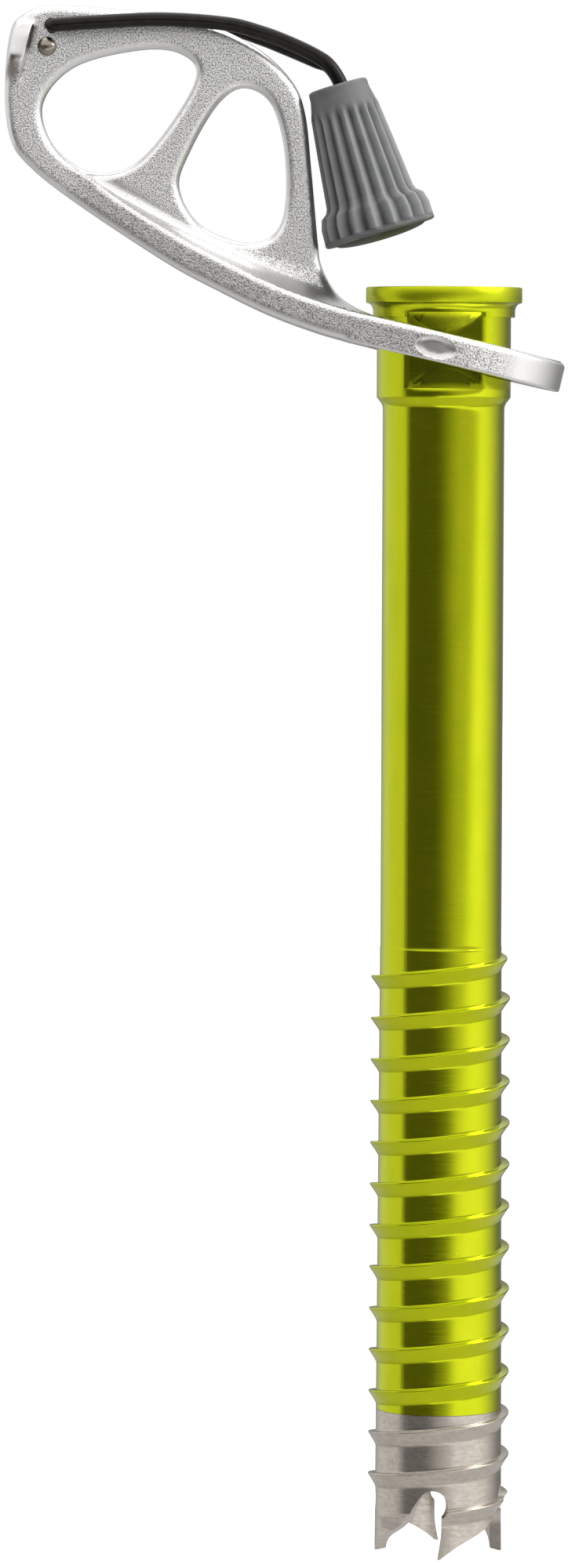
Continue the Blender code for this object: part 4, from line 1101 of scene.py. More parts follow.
@dataclass
class Hanger:
    """Forged hanger: two eyes in a flat web, a rib, a lug and the ring."""

    tilt: float = 13.3
    rock_height: float = 7.00
    web: float = 4.20
    web_edge: float = 1.20
    ring_length: float = 18.05
    ring_depth: float = 15.99
    ring_top: float = 2.40
    ring_bottom: float = -2.05
    ring_hole: float = 11.00
    top_round: float = 0.90
    bottom_round: float = 0.35
    rib_end: float = -60.0
    fillet: float = 5.00
    boss: float = 4.90
    boss_flat: float = 8.45
    mark_centre: float = -1.60
    mark_width: float = 3.20
    mark_height: float = 1.75
    mark_depth: float = 0.28
    tip: float = -73.45
    lug_rise: float = 1.90
    lug_width: float = 3.05
    lug_top: float = 32.60
    lug_bottom: float = 27.60
    lug_fade: float = 4.50
    lug_lean: float = 0.42
    pivot: tuple[float, float] = (-67.68, 33.13)
    rivet: tuple[float, float] = (-67.71, 29.98)
    foot_hole: float = 1.15
    rivet_hole: float = 1.05
    rivet_radius: float = 0.90
    rivet_head: float = 1.40
    rivet_rise: float = 0.75
    top_edge: Profile = (
        (-14.4, 3.1), (-17.6, 4.6), (-20.6, 7.9), (-22.0, 11.3), (-25.3, 21.1), (-28.3, 29.4), (-31.5, 33.7),
        (-37.9, 37.2), (-46.1, 38.8), (-55.9, 38.1), (-64.7, 36.88),
    )
    tip_edge: Profile = ((-69.5, 35.68), (-72.5, 33.5), (-73.44, 30.5), (-72.3, 22.2))
    bottom_edge: Profile = (
        (-69.9, 15.5), (-66.3, 12.2), (-58.3, 8.5), (-43.3, 3.1), (-35.0, 0.9), (-26.7, -0.9), (-19.3, -1.8),
    )
    neck: float = -11.0
    ring_left: float = -14.0
    seed_margin: float = 0.035
    seed_gap: float = 0.09
    tip_eye: Profile = (
        (-66.4, 21.7), (-63.0, 28.1), (-54.3, 32.7), (-48.3, 33.6), (-45.2, 30.8), (-47.7, 22.1),
        (-51.6, 15.7), (-57.3, 13.5), (-63.5, 16.1),
    )
    inner_eye: Profile = (
        (-37.9, 30.9), (-41.1, 27.7), (-43.5, 20.0), (-43.8, 14.2), (-39.1, 9.5), (-31.3, 8.9), (-27.9, 13.0),
        (-29.6, 22.2), (-33.4, 29.4),
    )
    eyes: list = field(init=False)
    outline: np.ndarray = field(init=False)
    lower: np.ndarray = field(init=False)

    def __post_init__(self) -> None:
        """Sample the drawn curves once."""
        self.eyes = [curve_through(eye, 14, closed=True) for eye in (self.tip_eye, self.inner_eye)]
        edge = [(self.ring_length, self.ring_bottom), (self.ring_left, self.ring_bottom)]
        edge += list(reversed(self.bottom_edge))
        smooth = np.vstack([edge[:1], curve_through(edge[1:], 10)])
        self.lower = smooth[np.argsort(smooth[:, 0])]
        self.outline = self.side_outline()

    def to_frame(self, points: np.ndarray) -> np.ndarray:
        """Rock points (along, across, up) to the frame's own axes.

        Args:
            points: points of the level hanger, one row each.

        Returns:
            The same points in the frame.
        """
        lean = math.radians(self.tilt)
        along, across, up = points[:, 0], points[:, 1], points[:, 2]
        return np.stack([
            along * math.cos(lean) + up * math.sin(lean), across,
            self.rock_height - along * math.sin(lean) + up * math.cos(lean),
        ], axis=1)

    def side_outline(self) -> np.ndarray:
        """Outline of the side view, anticlockwise, with rounded ring corners.

        Returns:
            Its points, one row each.
        """
        right, high, low = self.ring_length, self.ring_top, self.ring_bottom
        large, small = self.top_round, self.bottom_round
        top = np.linspace(self.neck, right - large, 30)[1:-1][::-1]
        bottom = np.linspace(self.ring_left, right - small, 30)[1:-1]
        free = [(self.neck, high), *self.top_edge, *self.tip_edge, *self.bottom_edge, (self.ring_left, low)]
        return np.concatenate([
            arc((right - large, high - large), large, 0.0, 90.0, 6),
            np.stack([top, np.full(len(top), high)], axis=1), curve_through(free, 10),
            np.stack([bottom, np.full(len(bottom), low)], axis=1),
            arc((right - small, low + small), small, -90.0, 0.0, 4),
        ])

    def bottom(self, along: np.ndarray) -> np.ndarray:
        """Height of the lower edge at a station."""
        return np.interp(along, self.lower[:, 0], self.lower[:, 1])

    def above_rib(self, along: np.ndarray, up: np.ndarray) -> np.ndarray:
        """Height above the upper edge of rib and ring."""
        return up - self.bottom(along) - (self.ring_top - self.ring_bottom)

    def mark(self, along: np.ndarray, up: np.ndarray) -> np.ndarray:
        """Crimp mark: 1 in its middle, 0 on its oval edge and less outside."""
        return 1.0 - ((along - self.mark_centre) / self.mark_width) ** 2 - (up / self.mark_height) ** 2

    def plan_depth(self, along: np.ndarray, inset: np.ndarray | float) -> np.ndarray:
        """Half depth of ring and rib seen from above, moved in by an inset.

        Formula: an ellipse round the ring, and past its tangent point a straight
        line to the rib's far end.

        Args:
            along: stations along the hanger.
            inset: how far the plan's edge moves in.

        Returns:
            The half depth at each station.
        """
        stretch = self.ring_length / self.ring_depth
        far = 0.5 * self.web * stretch
        angle = math.atan2(far, self.rib_end) - math.acos(self.ring_length / math.hypot(self.rib_end, far))
        station = self.ring_length * math.cos(angle)
        depth = self.ring_length * math.sin(angle) / stretch
        size = self.ring_length - inset
        ellipse = (self.ring_depth - inset) * np.sqrt(np.clip(1.0 - (along / size) ** 2, 0.0, 1.0))
        share = (along - self.rib_end) / (station - self.rib_end)
        straight = 0.5 * self.web + (depth - 0.5 * self.web) * share - inset
        return np.where(along > station, ellipse, np.maximum(straight, 0.5 * self.web))

    def lug(self, along: np.ndarray, up: np.ndarray) -> np.ndarray:
        """Rise of the lug over the web.

        Formula: the full rise, times an eased side wall with a slightly swollen
        face, a quarter ellipse at the top, an eased foot and a lean that takes
        the face back towards the top.

        Args:
            along: stations along the hanger.
            up: heights over its ring's centre.

        Returns:
            The rise at each point.
        """
        side = self.tip + self.lug_width
        wall = smoothstep((side - along) / 0.60 + 0.5)
        swell = np.clip((side - 1.5 - along) / 2.2, -1.0, 1.0)
        wall = wall * (1.0 - 0.30 * swell ** 2)
        roof = 1.0 - np.clip(1.0 - (self.lug_top + 0.5 - up) / 2.6, 0.0, 1.0) ** 2
        roof = np.sqrt(np.clip(roof, 0.0, 1.0))
        foot = smoothstep((up - self.lug_bottom) / self.lug_fade + 1.0)
        height = np.clip((up - self.lug_bottom) / (self.lug_top - self.lug_bottom), 0.0, 1.0)
        return self.lug_rise * wall * roof * foot * (1.0 - self.lug_lean * height)

    def half_depth(self, points: np.ndarray) -> np.ndarray:
        """Half depth of the forging over its side view.

        Formula: flat over the web; below it the rib and ring stand out to the
        plan's depth, joined to the web by a quarter ellipse. The crimp mark is a
        shallow bowl, the lug stands proud, and a circle of the edge's radius
        rounds every edge.

        Args:
            points: (along, up) of the side view, one row each.

        Returns:
            The half depth at each point.
        """
        along, up = points[:, 0], points[:, 1]
        web = 0.5 * self.web
        plan = self.plan_depth(along, 0.0)
        spare = plan - web
        edge = np.clip(np.where(along > 0.0, 0.5 * plan, 0.5 * spare), 1e-6, self.top_round)
        rise = np.minimum(self.fillet, 0.45 * spare + 0.8)
        above = self.above_rib(along, up)
        share = np.clip(1.0 - above / rise, 0.0, 1.0)
        joined = web + np.maximum(plan - edge - web, 0.0) * (1.0 - np.sqrt(1.0 - share ** 2))
        low = np.minimum(self.bottom_round, edge)
        inset = rounded(-above, edge) + rounded(up - self.bottom(along), low)
        depth = np.where(above < 0.0, self.plan_depth(along, inset), joined)
        depth = depth - self.mark_depth * smoothstep(self.mark(along, up) * 1.3)
        depth = depth + self.lug(along, up)
        away = self.edge_distance(points)
        return np.maximum(np.maximum(depth - rounded(away, self.web_edge), 0.35 * depth), 0.02)

    def edge_distance(self, points: np.ndarray, whole: bool = False) -> np.ndarray:
        """Distance to both eyes and to the web's free edges, or to the whole outline.

        Args:
            points: (along, up) of the side view.
            whole: whether the ring's edges count too.

        Returns:
            A distance for each point.
        """
        free = self.outline if whole else self.outline[self.outline[:, 0] < self.ring_left - 1.0]
        away = distance_to(points, free, closed=whole)
        for eye in self.eyes:
            away = np.minimum(away, distance_to(points, eye))
        return away

    def in_metal(self, points: np.ndarray) -> np.ndarray:
        """Tell which points of the side view lie in metal.

        Args:
            points: (along, up) of the side view.

        Returns:
            True for each point in metal.
        """
        result = inside(points, self.outline)
        for eye in self.eyes:
            result &= ~inside(points, eye)
        return result

    def edge_seeds(self) -> np.ndarray:
        """Rows of points that follow the outline and both eyes, for rounded edges.

        Returns:
            Points (along, up), one row each.
        """
        found = []
        for angle in (20.0, 36.0, 52.0, 70.0, 90.0):
            amount = self.web_edge * (1.0 - math.cos(math.radians(angle)))
            for loop in (self.outline, *self.eyes):
                run = np.roll(loop, -1, axis=0) - np.roll(loop, 1, axis=0)
                normal = np.stack([-run[:, 1], run[:, 0]], axis=1)
                normal /= np.maximum(np.linalg.norm(normal, axis=1, keepdims=True), 1e-9)
                found += [loop + amount * normal, loop - amount * normal]
        return np.concatenate(found)

    def rib_seeds(self) -> np.ndarray:
        """Points on level rows along ring and rib, closer together at the edges.

        Returns:
            Points (along, up), one row each.
        """
        tall = self.ring_top - self.ring_bottom
        levels = np.concatenate([
            np.linspace(0.0, self.bottom_round, 5)[1:], np.linspace(0.7, tall - self.top_round, 7),
            tall - self.top_round * (1.0 - np.sin(np.radians([20.0, 40.0, 55.0, 68.0, 80.0]))),
            [tall - 0.02, tall + 0.02, tall + 0.10], tall + np.linspace(0.25, self.fillet + 0.2, 12),
        ])
        stations = np.concatenate([
            self.ring_length * np.cos(np.radians(np.linspace(2.0, 100.0, 60))),
            np.linspace(-3.5, self.rib_end, 90),
        ])
        x, level = (part.ravel() for part in np.meshgrid(stations, levels))
        return np.stack([x, self.bottom(x) + level], axis=1)

    def seeds(self) -> np.ndarray:
        """Points of the side view: rows along edges and rib, the mark, the lug and a field.

        Returns:
            Points (along, up), one row each.
        """
        turn = np.linspace(0.0, math.tau, 40, endpoint=False)
        size = np.array([1.01, 0.97, 0.88, 0.72, 0.5, 0.25])[:, None]
        wide, high = size * self.mark_width, size * self.mark_height
        mark = [self.mark_centre + wide * np.cos(turn), high * np.sin(turn)]
        wall = self.tip + self.lug_width
        lug = np.meshgrid(
            np.concatenate([np.linspace(self.tip + 0.6, wall - 0.4, 6), wall + np.linspace(-0.22, 0.22, 7)]),
            np.concatenate([
                np.linspace(self.lug_bottom - self.lug_fade, self.lug_top - 0.5, 22),
                self.lug_top + np.linspace(-0.4, 0.4, 7),
            ]),
        )
        x, y = np.meshgrid(np.arange(-73.0, 17.0, 1.1), np.arange(-1.5, 39.0, 1.1))
        groups = [np.stack(pair, axis=-1).reshape(-1, 2) for pair in (mark, lug, (x + 0.013 * y, y))]
        return np.concatenate([self.edge_seeds(), self.rib_seeds(), *groups])

    def flat_points(self) -> np.ndarray:
        """Seeds that lie well inside the metal, with near doubles left out.

        Returns:
            Points (along, up), one row each.
        """
        points = self.seeds()
        away = self.edge_distance(points, whole=True)
        points = points[self.in_metal(points) & (away > self.seed_margin)]
        _, first = np.unique(np.round(points / self.seed_gap).astype(int), axis=0, return_index=True)
        return points[np.sort(first)]

    def blank(self) -> bpy.types.Mesh:
        """Triangulate the side view and raise it to both faces of the forging.

        Returns:
            The closed mesh, level and still without its holes.
        """
        loops = [self.outline, *self.eyes]
        edges, first = [], 0
        for loop in loops:
            index = np.arange(len(loop))
            edges += np.stack([first + index, first + (index + 1) % len(loop)], axis=1).tolist()
            first += len(loop)
        known = [Vector(point) for point in np.concatenate([*loops, self.flat_points()]).tolist()]
        flat, _, triangles, *_ = delaunay_2d_cdt(known, edges, [], 0, 1e-6)
        flat = np.array([(point[0], point[1]) for point in flat])
        triangles = np.array([triangle for triangle in triangles if len(triangle) == 3])
        triangles = triangles[self.in_metal(flat[triangles].mean(axis=1))]
        depth, count = self.half_depth(flat), len(flat)
        points = np.concatenate([
            np.stack([flat[:, 0], side * depth, flat[:, 1]], axis=1) for side in (-1.0, 1.0)
        ])
        sides = np.concatenate([triangles[:, [0, 1]], triangles[:, [1, 2]], triangles[:, [2, 0]]])
        key, back = sides[:, 0] * count + sides[:, 1], sides[:, 1] * count + sides[:, 0]
        rim = sides[~np.isin(key, back)]
        faces = triangles.tolist() + (triangles[:, ::-1] + count).tolist()
        faces += np.stack([rim[:, 1], rim[:, 0], rim[:, 0] + count, rim[:, 1] + count], axis=1).tolist()
        return make_mesh("hanger_blank", points, faces)

    def holes(self) -> Shape:
        """Cutters for the ring's bore with its two bosses, the foot and the rivet.

        Returns:
            Points in millimetres, and faces.
        """
        edge = math.degrees(math.acos(self.boss / self.ring_hole))
        bore = []
        for side, start in ((1.0, edge), (-1.0, edge + 180.0)):
            bore.append([(side * self.boss, side * self.boss_flat)])
            bore.append(arc((0.0, 0.0), self.ring_hole, start, start - 2.0 * edge, 48))
            bore.append([(side * self.boss, -side * self.boss_flat)])
        tall = self.ring_top - self.ring_bottom + 6.0
        wide = self.web + 1.0
        shapes = [
            prism(np.concatenate(bore), lambda flat, level: np.insert(flat, 2, level, axis=1), (-tall, tall)),
        ]
        for centre, radius in ((self.pivot, self.foot_hole), (self.rivet, self.rivet_hole)):
            ring = arc(centre, radius, 0.0, 352.5, 47)
            shapes.append(prism(ring, lambda flat, level: np.insert(flat, 1, level, axis=1), (-wide, wide)))
        return join_shapes(shapes)

    def grain(self, points: np.ndarray) -> np.ndarray:
        """Share of blasted grain at points (along, across, up).

        The grain fades on the rubbed edges, on the lug, in the crimp mark, in
        the fillet and round the ring's far end.

        Args:
            points: points of the forging, one row each.

        Returns:
            A share for each, 1 where the grain is full.
        """
        flat = points[:, [0, 2]]
        along, up = flat[:, 0], flat[:, 1]
        side = self.tip + self.lug_width
        lug = smoothstep((side + 0.4 - along) / 0.5) * smoothstep((up - self.lug_bottom + 2.5) / 2.0)
        mark = smoothstep(self.mark(along, up) * 4.0)
        end = smoothstep((along - 6.5) / 5.0) * smoothstep((self.ring_top + 0.5 - up) / 0.5)
        above = self.above_rib(along, up)
        deep = self.plan_depth(along, 0.0) > 0.5 * self.web + 1.0
        rim = deep & (above < 0.0)
        crown = np.where(rim, smoothstep((above + 1.0) / 0.4), 0.0)
        sole = np.where(rim, smoothstep((self.bottom(along) + 0.40 - up) / 0.15), 0.0)
        hollow = np.where(deep, smoothstep((above + 0.3) / 0.5), 0.0)
        hollow = 0.80 * hollow * smoothstep((0.62 * self.fillet - above) / 1.4)
        smooth = np.maximum.reduce([lug, mark, end, 0.6 * crown, sole, hollow])
        return smoothstep((self.edge_distance(flat) - 0.45) / 0.85) * (1.0 - smooth)

    def painted_shade(self, points: np.ndarray) -> np.ndarray:
        """Share of painted shade: beside the lug, on it and below its foot, and along the rib.

        Args:
            points: points (along, across, up) of the forging, one row each.

        Returns:
            A share for each, 0 where no shade is painted.
        """
        along, up = points[:, 0], points[:, 2]
        wall, low = self.tip + self.lug_width, up - self.lug_bottom
        # painted shadow in the crevice beside the lug's wall, then lighter painted shade on its face, below
        # its foot and along the rib
        side = smoothstep(1.2 - np.abs(along - wall - 0.05) / 0.50)
        side = side * smoothstep((self.lug_top + 0.1 - up) / 0.4) * smoothstep((low - 0.6) / 1.2)
        foot = smoothstep(1.3 - np.abs(low + 1.7) / 2.2) * smoothstep((wall - 0.2 - along) / 0.6)
        foot = foot * smoothstep((along - self.tip - 0.5) / 0.4)
        face = smoothstep((wall - along) / 0.4) * smoothstep((low + 1.0) / 1.5)
        above = self.above_rib(along, up)
        rib = smoothstep((-0.7 - above) / 0.5) * smoothstep((above + 4.1) / 0.4)
        rib = rib * smoothstep((4.0 - along) / 8.0) * smoothstep((along - self.rib_end) / 6.0)
        return np.maximum.reduce([0.95 * side, 0.72 * foot, 0.14 * face, 0.24 * rib])

    def rivet_mesh(self) -> bpy.types.Mesh:
        """Cross rivet with a dome on each face of the web.

        Returns:
            The closed mesh.
        """
        face = 0.5 * self.web + 0.05
        drop = (self.rivet_head ** 2 - self.rivet_rise ** 2) / (2.0 * self.rivet_rise)
        radius = self.rivet_head * np.cos(np.linspace(0.02, 1.52, 10))
        dome = np.stack([radius, face + np.sqrt((self.rivet_rise + drop) ** 2 - radius ** 2) - drop], axis=1)
        half = np.vstack([(self.rivet_radius, 0.0), (self.rivet_radius, face), (self.rivet_head, face), dome])
        points, faces = turned(np.vstack([half[:0:-1] * (1.0, -1.0), half[1:]]), 48)
        points = np.stack([self.rivet[0] + points[:, 0], points[:, 2], self.rivet[1] + points[:, 1]], axis=1)
        return make_mesh("rivet", self.to_frame(points), faces)

    def build(self, forged: bpy.types.Material, bright: bpy.types.Material) -> None:
        """Make the forging and its rivet.

        Args:
            forged: the forging's finish.
            bright: the rivet's finish.
        """
        mesh = carve(self.blank(), self.holes())
        local = coordinates(mesh)
        stamp(mesh, "grain", self.grain(local))
        # painted shade, stamped for the material to darken the metal beside the lug and along the rib
        stamp(mesh, "painted_shade", self.painted_shade(local))
        mesh.vertices.foreach_set("co", (self.to_frame(local) * MM).astype(np.float32).ravel())
        mesh.update()
        place_piece("forged_hanger", mesh, forged, "hanger", "hanger", 40.0)
        place_piece("polished_rivet", self.rivet_mesh(), bright, "hanger", "stop_rivet")


# Crank handle and knob

def carry(path: np.ndarray, radius: float, sides: int) -> Shape:
    """Carry a round section along a path without twist, with flat ends.

    Formula: point = path + radius * (cos a * side + sin a * other), where side
    is carried from station to station by the least turn.

    Args:
        path: stations of the centreline.
        radius: the section's radius.
        sides: points in each ring.

    Returns:
        Points in millimetres, and faces.
    """
    tangent = np.gradient(path, axis=0)
    tangent /= np.linalg.norm(tangent, axis=1, keepdims=True)
    side = np.zeros_like(path)
    current = np.cross(tangent[0], (0.3, 0.1, 0.9))
    for station, ahead in enumerate(tangent):
        current = current - ahead * np.dot(current, ahead)
        current = current / np.linalg.norm(current)
        side[station] = current
    other = np.cross(tangent, side)
    angle = np.linspace(0.0, math.tau, sides, endpoint=False)[None, :, None]
    ring = np.cos(angle) * side[:, None, :] + np.sin(angle) * other[:, None, :]
    points = path[:, None, :] + radius * ring
    faces = grid_faces(len(path), sides).tolist()
    faces.append(list(range(sides)))
    faces.append(list(range((len(path) - 1) * sides, len(path) * sides)))
    return points.reshape(-1, 3), faces


@dataclass
class Knob:
    """Fluted grip that turns on a ferrule at the crank's end."""

    hanger: Hanger
    top: tuple[float, float] = (-24.63, 34.53)
    lean: float = 29.9
    length: float = 22.95
    collar: float = 2.90
    collar_radius: float = 4.45
    top_round: float = 0.45
    rim: float = 18.10
    rim_radius: float = 8.45
    end_round: float = 0.55
    end_band: float = 1.10
    flutes: int = 18
    flute_depth: float = 0.55
    rim_flute: float = 0.75
    flute_phase: float = 6.0
    flute_edge: float = 0.25
    flute_start: float = 2.4
    collar_ridge: float = 0.50
    band_ridge: float = 0.42
    cap_ridge: float = 0.15
    core_radius: float = 3.00
    core_bore: float = 2.45
    core_top: float = 0.40
    core_length: float = 17.20
    bore_depth: float = 14.80
    shoulder: float = 15.50
    cavity: float = 5.00
    clip_thickness: float = 0.60
    clip_radius: float = 4.20
    groove: float = 2.30
    cap_radius: float = 6.80
    cap_seat: float = 1.00
    cap_dome: float = 0.90
    gap: float = 0.05

    def to_hanger(self, points: np.ndarray) -> np.ndarray:
        """Lean points given on the knob's axis into the hanger's side view.

        Args:
            points: points on the knob's axis, one row each.

        Returns:
            The same points on the level hanger.
        """
        lean = math.radians(self.lean)
        x, y, z = points[:, 0], points[:, 1], points[:, 2]
        return np.stack([
            self.top[0] + x * math.cos(lean) - z * math.sin(lean), y,
            self.top[1] + x * math.sin(lean) + z * math.cos(lean),
        ], axis=1)

    def to_frame(self, points: np.ndarray) -> np.ndarray:
        """Turn points given on the knob's axis to the frame's own axes."""
        return self.hanger.to_frame(self.to_hanger(points))

    def body_mesh(self, name: str, shape: Shape) -> bpy.types.Mesh:
        """Make a closed mesh of a shape drawn on the knob's axis."""
        return make_mesh(name, self.to_frame(shape[0]), shape[1])

    def grip_rows(self) -> np.ndarray:
        """Distances from the grip's top at which its outline has a row.

        Returns:
            The distances, in order.
        """
        rim, end = self.rim, self.length
        band, bend = end - self.end_band, end - self.end_round
        return np.concatenate([
            [0.0, 0.06, 0.15, 0.28, 0.45],
            np.linspace(0.8, rim - 1.4, 44), np.linspace(rim - 1.2, rim + 1.4, 22),
            np.linspace(rim + 1.6, band, 7), np.linspace(band, bend, 6)[1:],
            end - self.end_round * (1.0 - np.sin(np.radians(np.linspace(12.0, 90.0, 7)))),
        ])

    def flute_depths(self, down: np.ndarray) -> np.ndarray:
        """Depth of the flutes at distances from the top: none on the collar, more on the rim.

        Args:
            down: the distances.

        Returns:
            A depth for each.
        """
        depth = self.flute_depth * smoothstep((down - self.collar) / self.flute_start)
        depth = depth + (self.rim_flute - self.flute_depth) * smoothstep((down - self.rim + 0.3) / 0.6)
        bend = self.length - self.end_round
        return depth * smoothstep((bend + 0.15 - down) / (self.end_band - self.end_round))

    def grip_mesh(self) -> bpy.types.Mesh:
        """Grip with its flutes, lobed rim and inside.

        Formula: radius(a, s) = body(s) - depth(s) * hollow(a), where body is a
        smooth curve down the axis and hollow is the size of a half-rate sine,
        rounded a little on the ridges: sqrt(sin(n a / 2)**2 + e*e) - e.

        Returns:
            The closed mesh, stamped with how far each point is up a ridge.
        """
        rim, end, wide = self.rim, self.length, self.rim_radius
        down = self.grip_rows()
        body = np.interp(
            down, [0.0, 1.45, 2.9, 3.9, 9.5, rim - 0.9, rim - 0.2, rim + 0.5, rim + 2.0, end],
            [self.collar_radius, 4.52, 4.85, 5.20, 5.86, 6.70, 7.00, wide - 0.55, wide - 0.10, wide],
        )
        body = body - rounded(down, self.top_round) - rounded(end - down, self.end_round)
        angle = np.linspace(0.0, math.tau, self.flutes * 20, endpoint=False)
        wave = np.sqrt(np.sin(0.5 * self.flutes * angle) ** 2 + self.flute_edge ** 2) - self.flute_edge
        wave = wave / wave.max()
        angle = angle + math.radians(self.flute_phase)
        outer = around(body[:, None] - self.flute_depths(down)[:, None] * wave, angle, -down[:, None])
        seat, bore = self.cap_radius + 0.15, self.core_radius + 0.10
        inner = np.array([
            (seat, -end), (seat, self.cap_seat - end), (self.cavity, self.cap_seat - end),
            (self.cavity, -self.shoulder), (bore, -self.shoulder), (bore, 0.0),
        ])
        rows = np.concatenate([outer, around(inner[:, :1], angle, inner[:, 1:])])
        faces = grid_faces(len(rows), len(angle), wrap_rows=True).tolist()
        mesh = self.body_mesh("grip", (rows.reshape(-1, 3), faces))
        start = smoothstep((down - self.collar) / self.flute_start)[:, None]
        band = smoothstep((down - end + self.end_band) / 0.3)[:, None]
        # ridge share: 1 on the ridges, 0 down the valleys, where the grip's colour carries painted shade
        ridge = np.sqrt(1.0 - wave) * start + self.collar_ridge * (1.0 - start)
        ridge = ridge + (self.band_ridge - ridge) * band
        stamp(mesh, "ridge", np.concatenate([ridge, np.zeros((len(inner), len(angle)))]).ravel())
        return mesh

    def core_mesh(self) -> bpy.types.Mesh:
        """Blind ferrule with the spring ring's groove.

        Returns:
            The closed mesh.
        """
        bore, outer, start = self.core_bore, self.core_radius, self.core_top
        top = self.shoulder + self.gap + 0.25
        bottom = top + self.clip_thickness + 2.0 * self.gap
        end = start + self.core_length
        return self.body_mesh("core", turned([
            (bore, -self.bore_depth), (bore, -start - 0.2), (bore + 0.2, -start), (outer - 0.12, -start),
            (outer, -start - 0.12), (outer, -top), (self.groove, -top), (self.groove, -bottom),
            (outer, -bottom), (outer, -end + 0.4), (outer - 0.4, -end),
        ], 64))

    def clip_mesh(self) -> bpy.types.Mesh:
        """Open spring ring in the ferrule's groove.

        Returns:
            The closed mesh.
        """
        top = -(self.shoulder + 2.0 * self.gap + 0.25)
        bottom = top - self.clip_thickness
        angle = np.radians(np.linspace(35.0, 325.0, 60))[:, None]
        inner = self.groove + self.gap
        radius = np.array([inner, self.clip_radius, self.clip_radius, inner])
        points = around(radius, angle, np.array([top, top, bottom, bottom])).reshape(-1, 3)
        faces = grid_faces(len(angle), 4).tolist() + [[0, 1, 2, 3], list(range(len(points) - 4, len(points)))]
        return self.body_mesh("clip", (points, faces))

    def cap_mesh(self) -> bpy.types.Mesh:
        """Domed cap pressed into the grip's wide end.

        Returns:
            The closed mesh.
        """
        seat = self.length - self.cap_seat + self.gap
        spigot = self.cavity - 0.15
        turn = np.radians(np.linspace(8.0, 86.0, 12))
        down = self.length + self.cap_dome * np.sin(turn)
        dome = np.stack([self.cap_radius * np.cos(turn), -down], axis=1)
        mesh = self.body_mesh("cap", turned([
            (spigot - 0.2, 1.5 - seat), (spigot, 1.3 - seat), (spigot, -seat), (self.cap_radius, -seat),
            (self.cap_radius, -self.length), *dome.tolist(),
        ], 120))
        stamp(mesh, "ridge", np.full(len(mesh.vertices), self.cap_ridge))
        return mesh

    def build(self, rubber: bpy.types.Material, bright: bpy.types.Material) -> None:
        """Make the grip, its cap, the ferrule and the spring ring.

        Args:
            rubber: the finish of grip and cap.
            bright: the finish of ferrule and ring.
        """
        place_piece("fluted_grip", self.grip_mesh(), rubber, "knob", "knob_grip", 50.0)
        place_piece("grip_cap", self.cap_mesh(), rubber, "knob", "knob_end_cap")
        place_piece("swivel_ferrule", self.core_mesh(), bright, "handle", "swivel_core")
        place_piece("spring_ring", self.clip_mesh(), bright, "handle", "retaining_clip")


@dataclass
class Crank:
    """One length of coated wire, bent as a hairpin with two inturned feet."""

    hanger: Hanger
    knob: Knob
    radius: float = 1.05
    clearance: float = 0.25
    spread: float = 1.25
    bend: float = 1.6
    far_dip: float = 0.70
    entry: Profile = ((0.55, 0.2), (0.15, 2.8), (0.0, 6.0))
    near_leg: Profile = (
        (-62.0, 34.9), (-52.2, 37.7), (-42.8, 39.3), (-37.6, 39.3), (-33.0, 38.8), (-28.6, 37.9),
        (-26.3, 36.9),
    )

    def knob_point(self, across: float, depth: float, along: float) -> tuple[float, float, float]:
        """One point given on the knob's axis, in the hanger's side view."""
        return tuple(self.knob.to_hanger(np.array([(across, depth, -along)]))[0])

    def leg(self, side: float) -> np.ndarray:
        """Centreline of one leg, from its foot in the web down into the ferrule.

        Args:
            side: -1 for the near leg, 1 for the far one.

        Returns:
            Stations of the leg, one row each.
        """
        level = side * (0.5 * self.hanger.web + self.clearance + self.radius)
        pivot = np.array(self.hanger.pivot)
        ahead = np.array(self.near_leg[0]) - pivot
        ahead /= np.linalg.norm(ahead)
        turn = np.radians(np.linspace(0.0, 90.0, 10))
        forward = self.bend * (1.0 - np.cos(turn))
        across = level - side * self.bend * (1.0 - np.sin(turn))
        foot = np.stack([pivot[0] + ahead[0] * forward, across, pivot[1] + ahead[1] * forward], axis=1)
        start = np.array([(pivot[0], side * 0.25, pivot[1])])
        flat = np.array(self.near_leg)
        share = np.linspace(0.0, 1.0, len(flat))
        dip = self.far_dip * np.sin(math.pi * share ** 2) if side > 0 else 0.0 * share
        blend = smoothstep((flat[:, 0] + 40.0) / 14.0)
        depth = level + (side * self.spread - level) * blend
        way = np.stack([flat[:, 0], depth, flat[:, 1] - dip], axis=1)
        inner = side * self.spread
        ends = [self.knob_point(across, inner, along) for across, along in self.entry]
        return np.vstack([start, foot[:-1], curve_through([foot[-1], *way, *ends], 10)])

    def build(self, coat: bpy.types.Material) -> None:
        """Make the wire.

        Args:
            coat: the wire's finish.
        """
        deep = self.knob.bore_depth - self.radius - self.spread - 0.3
        turn = np.linspace(0.0, math.pi, 24)
        loop = np.stack([0.0 * turn, -self.spread * np.cos(turn), -deep - self.spread * np.sin(turn)], axis=1)
        path = np.vstack([self.leg(-1.0), self.knob.to_hanger(loop), self.leg(1.0)[::-1]])
        points, faces = carry(path, self.radius, 32)
        mesh = make_mesh("wire", self.hanger.to_frame(points), faces)
        place_piece("crank_wire", mesh, coat, "handle", "wire_handle", 60.0)


# Studio

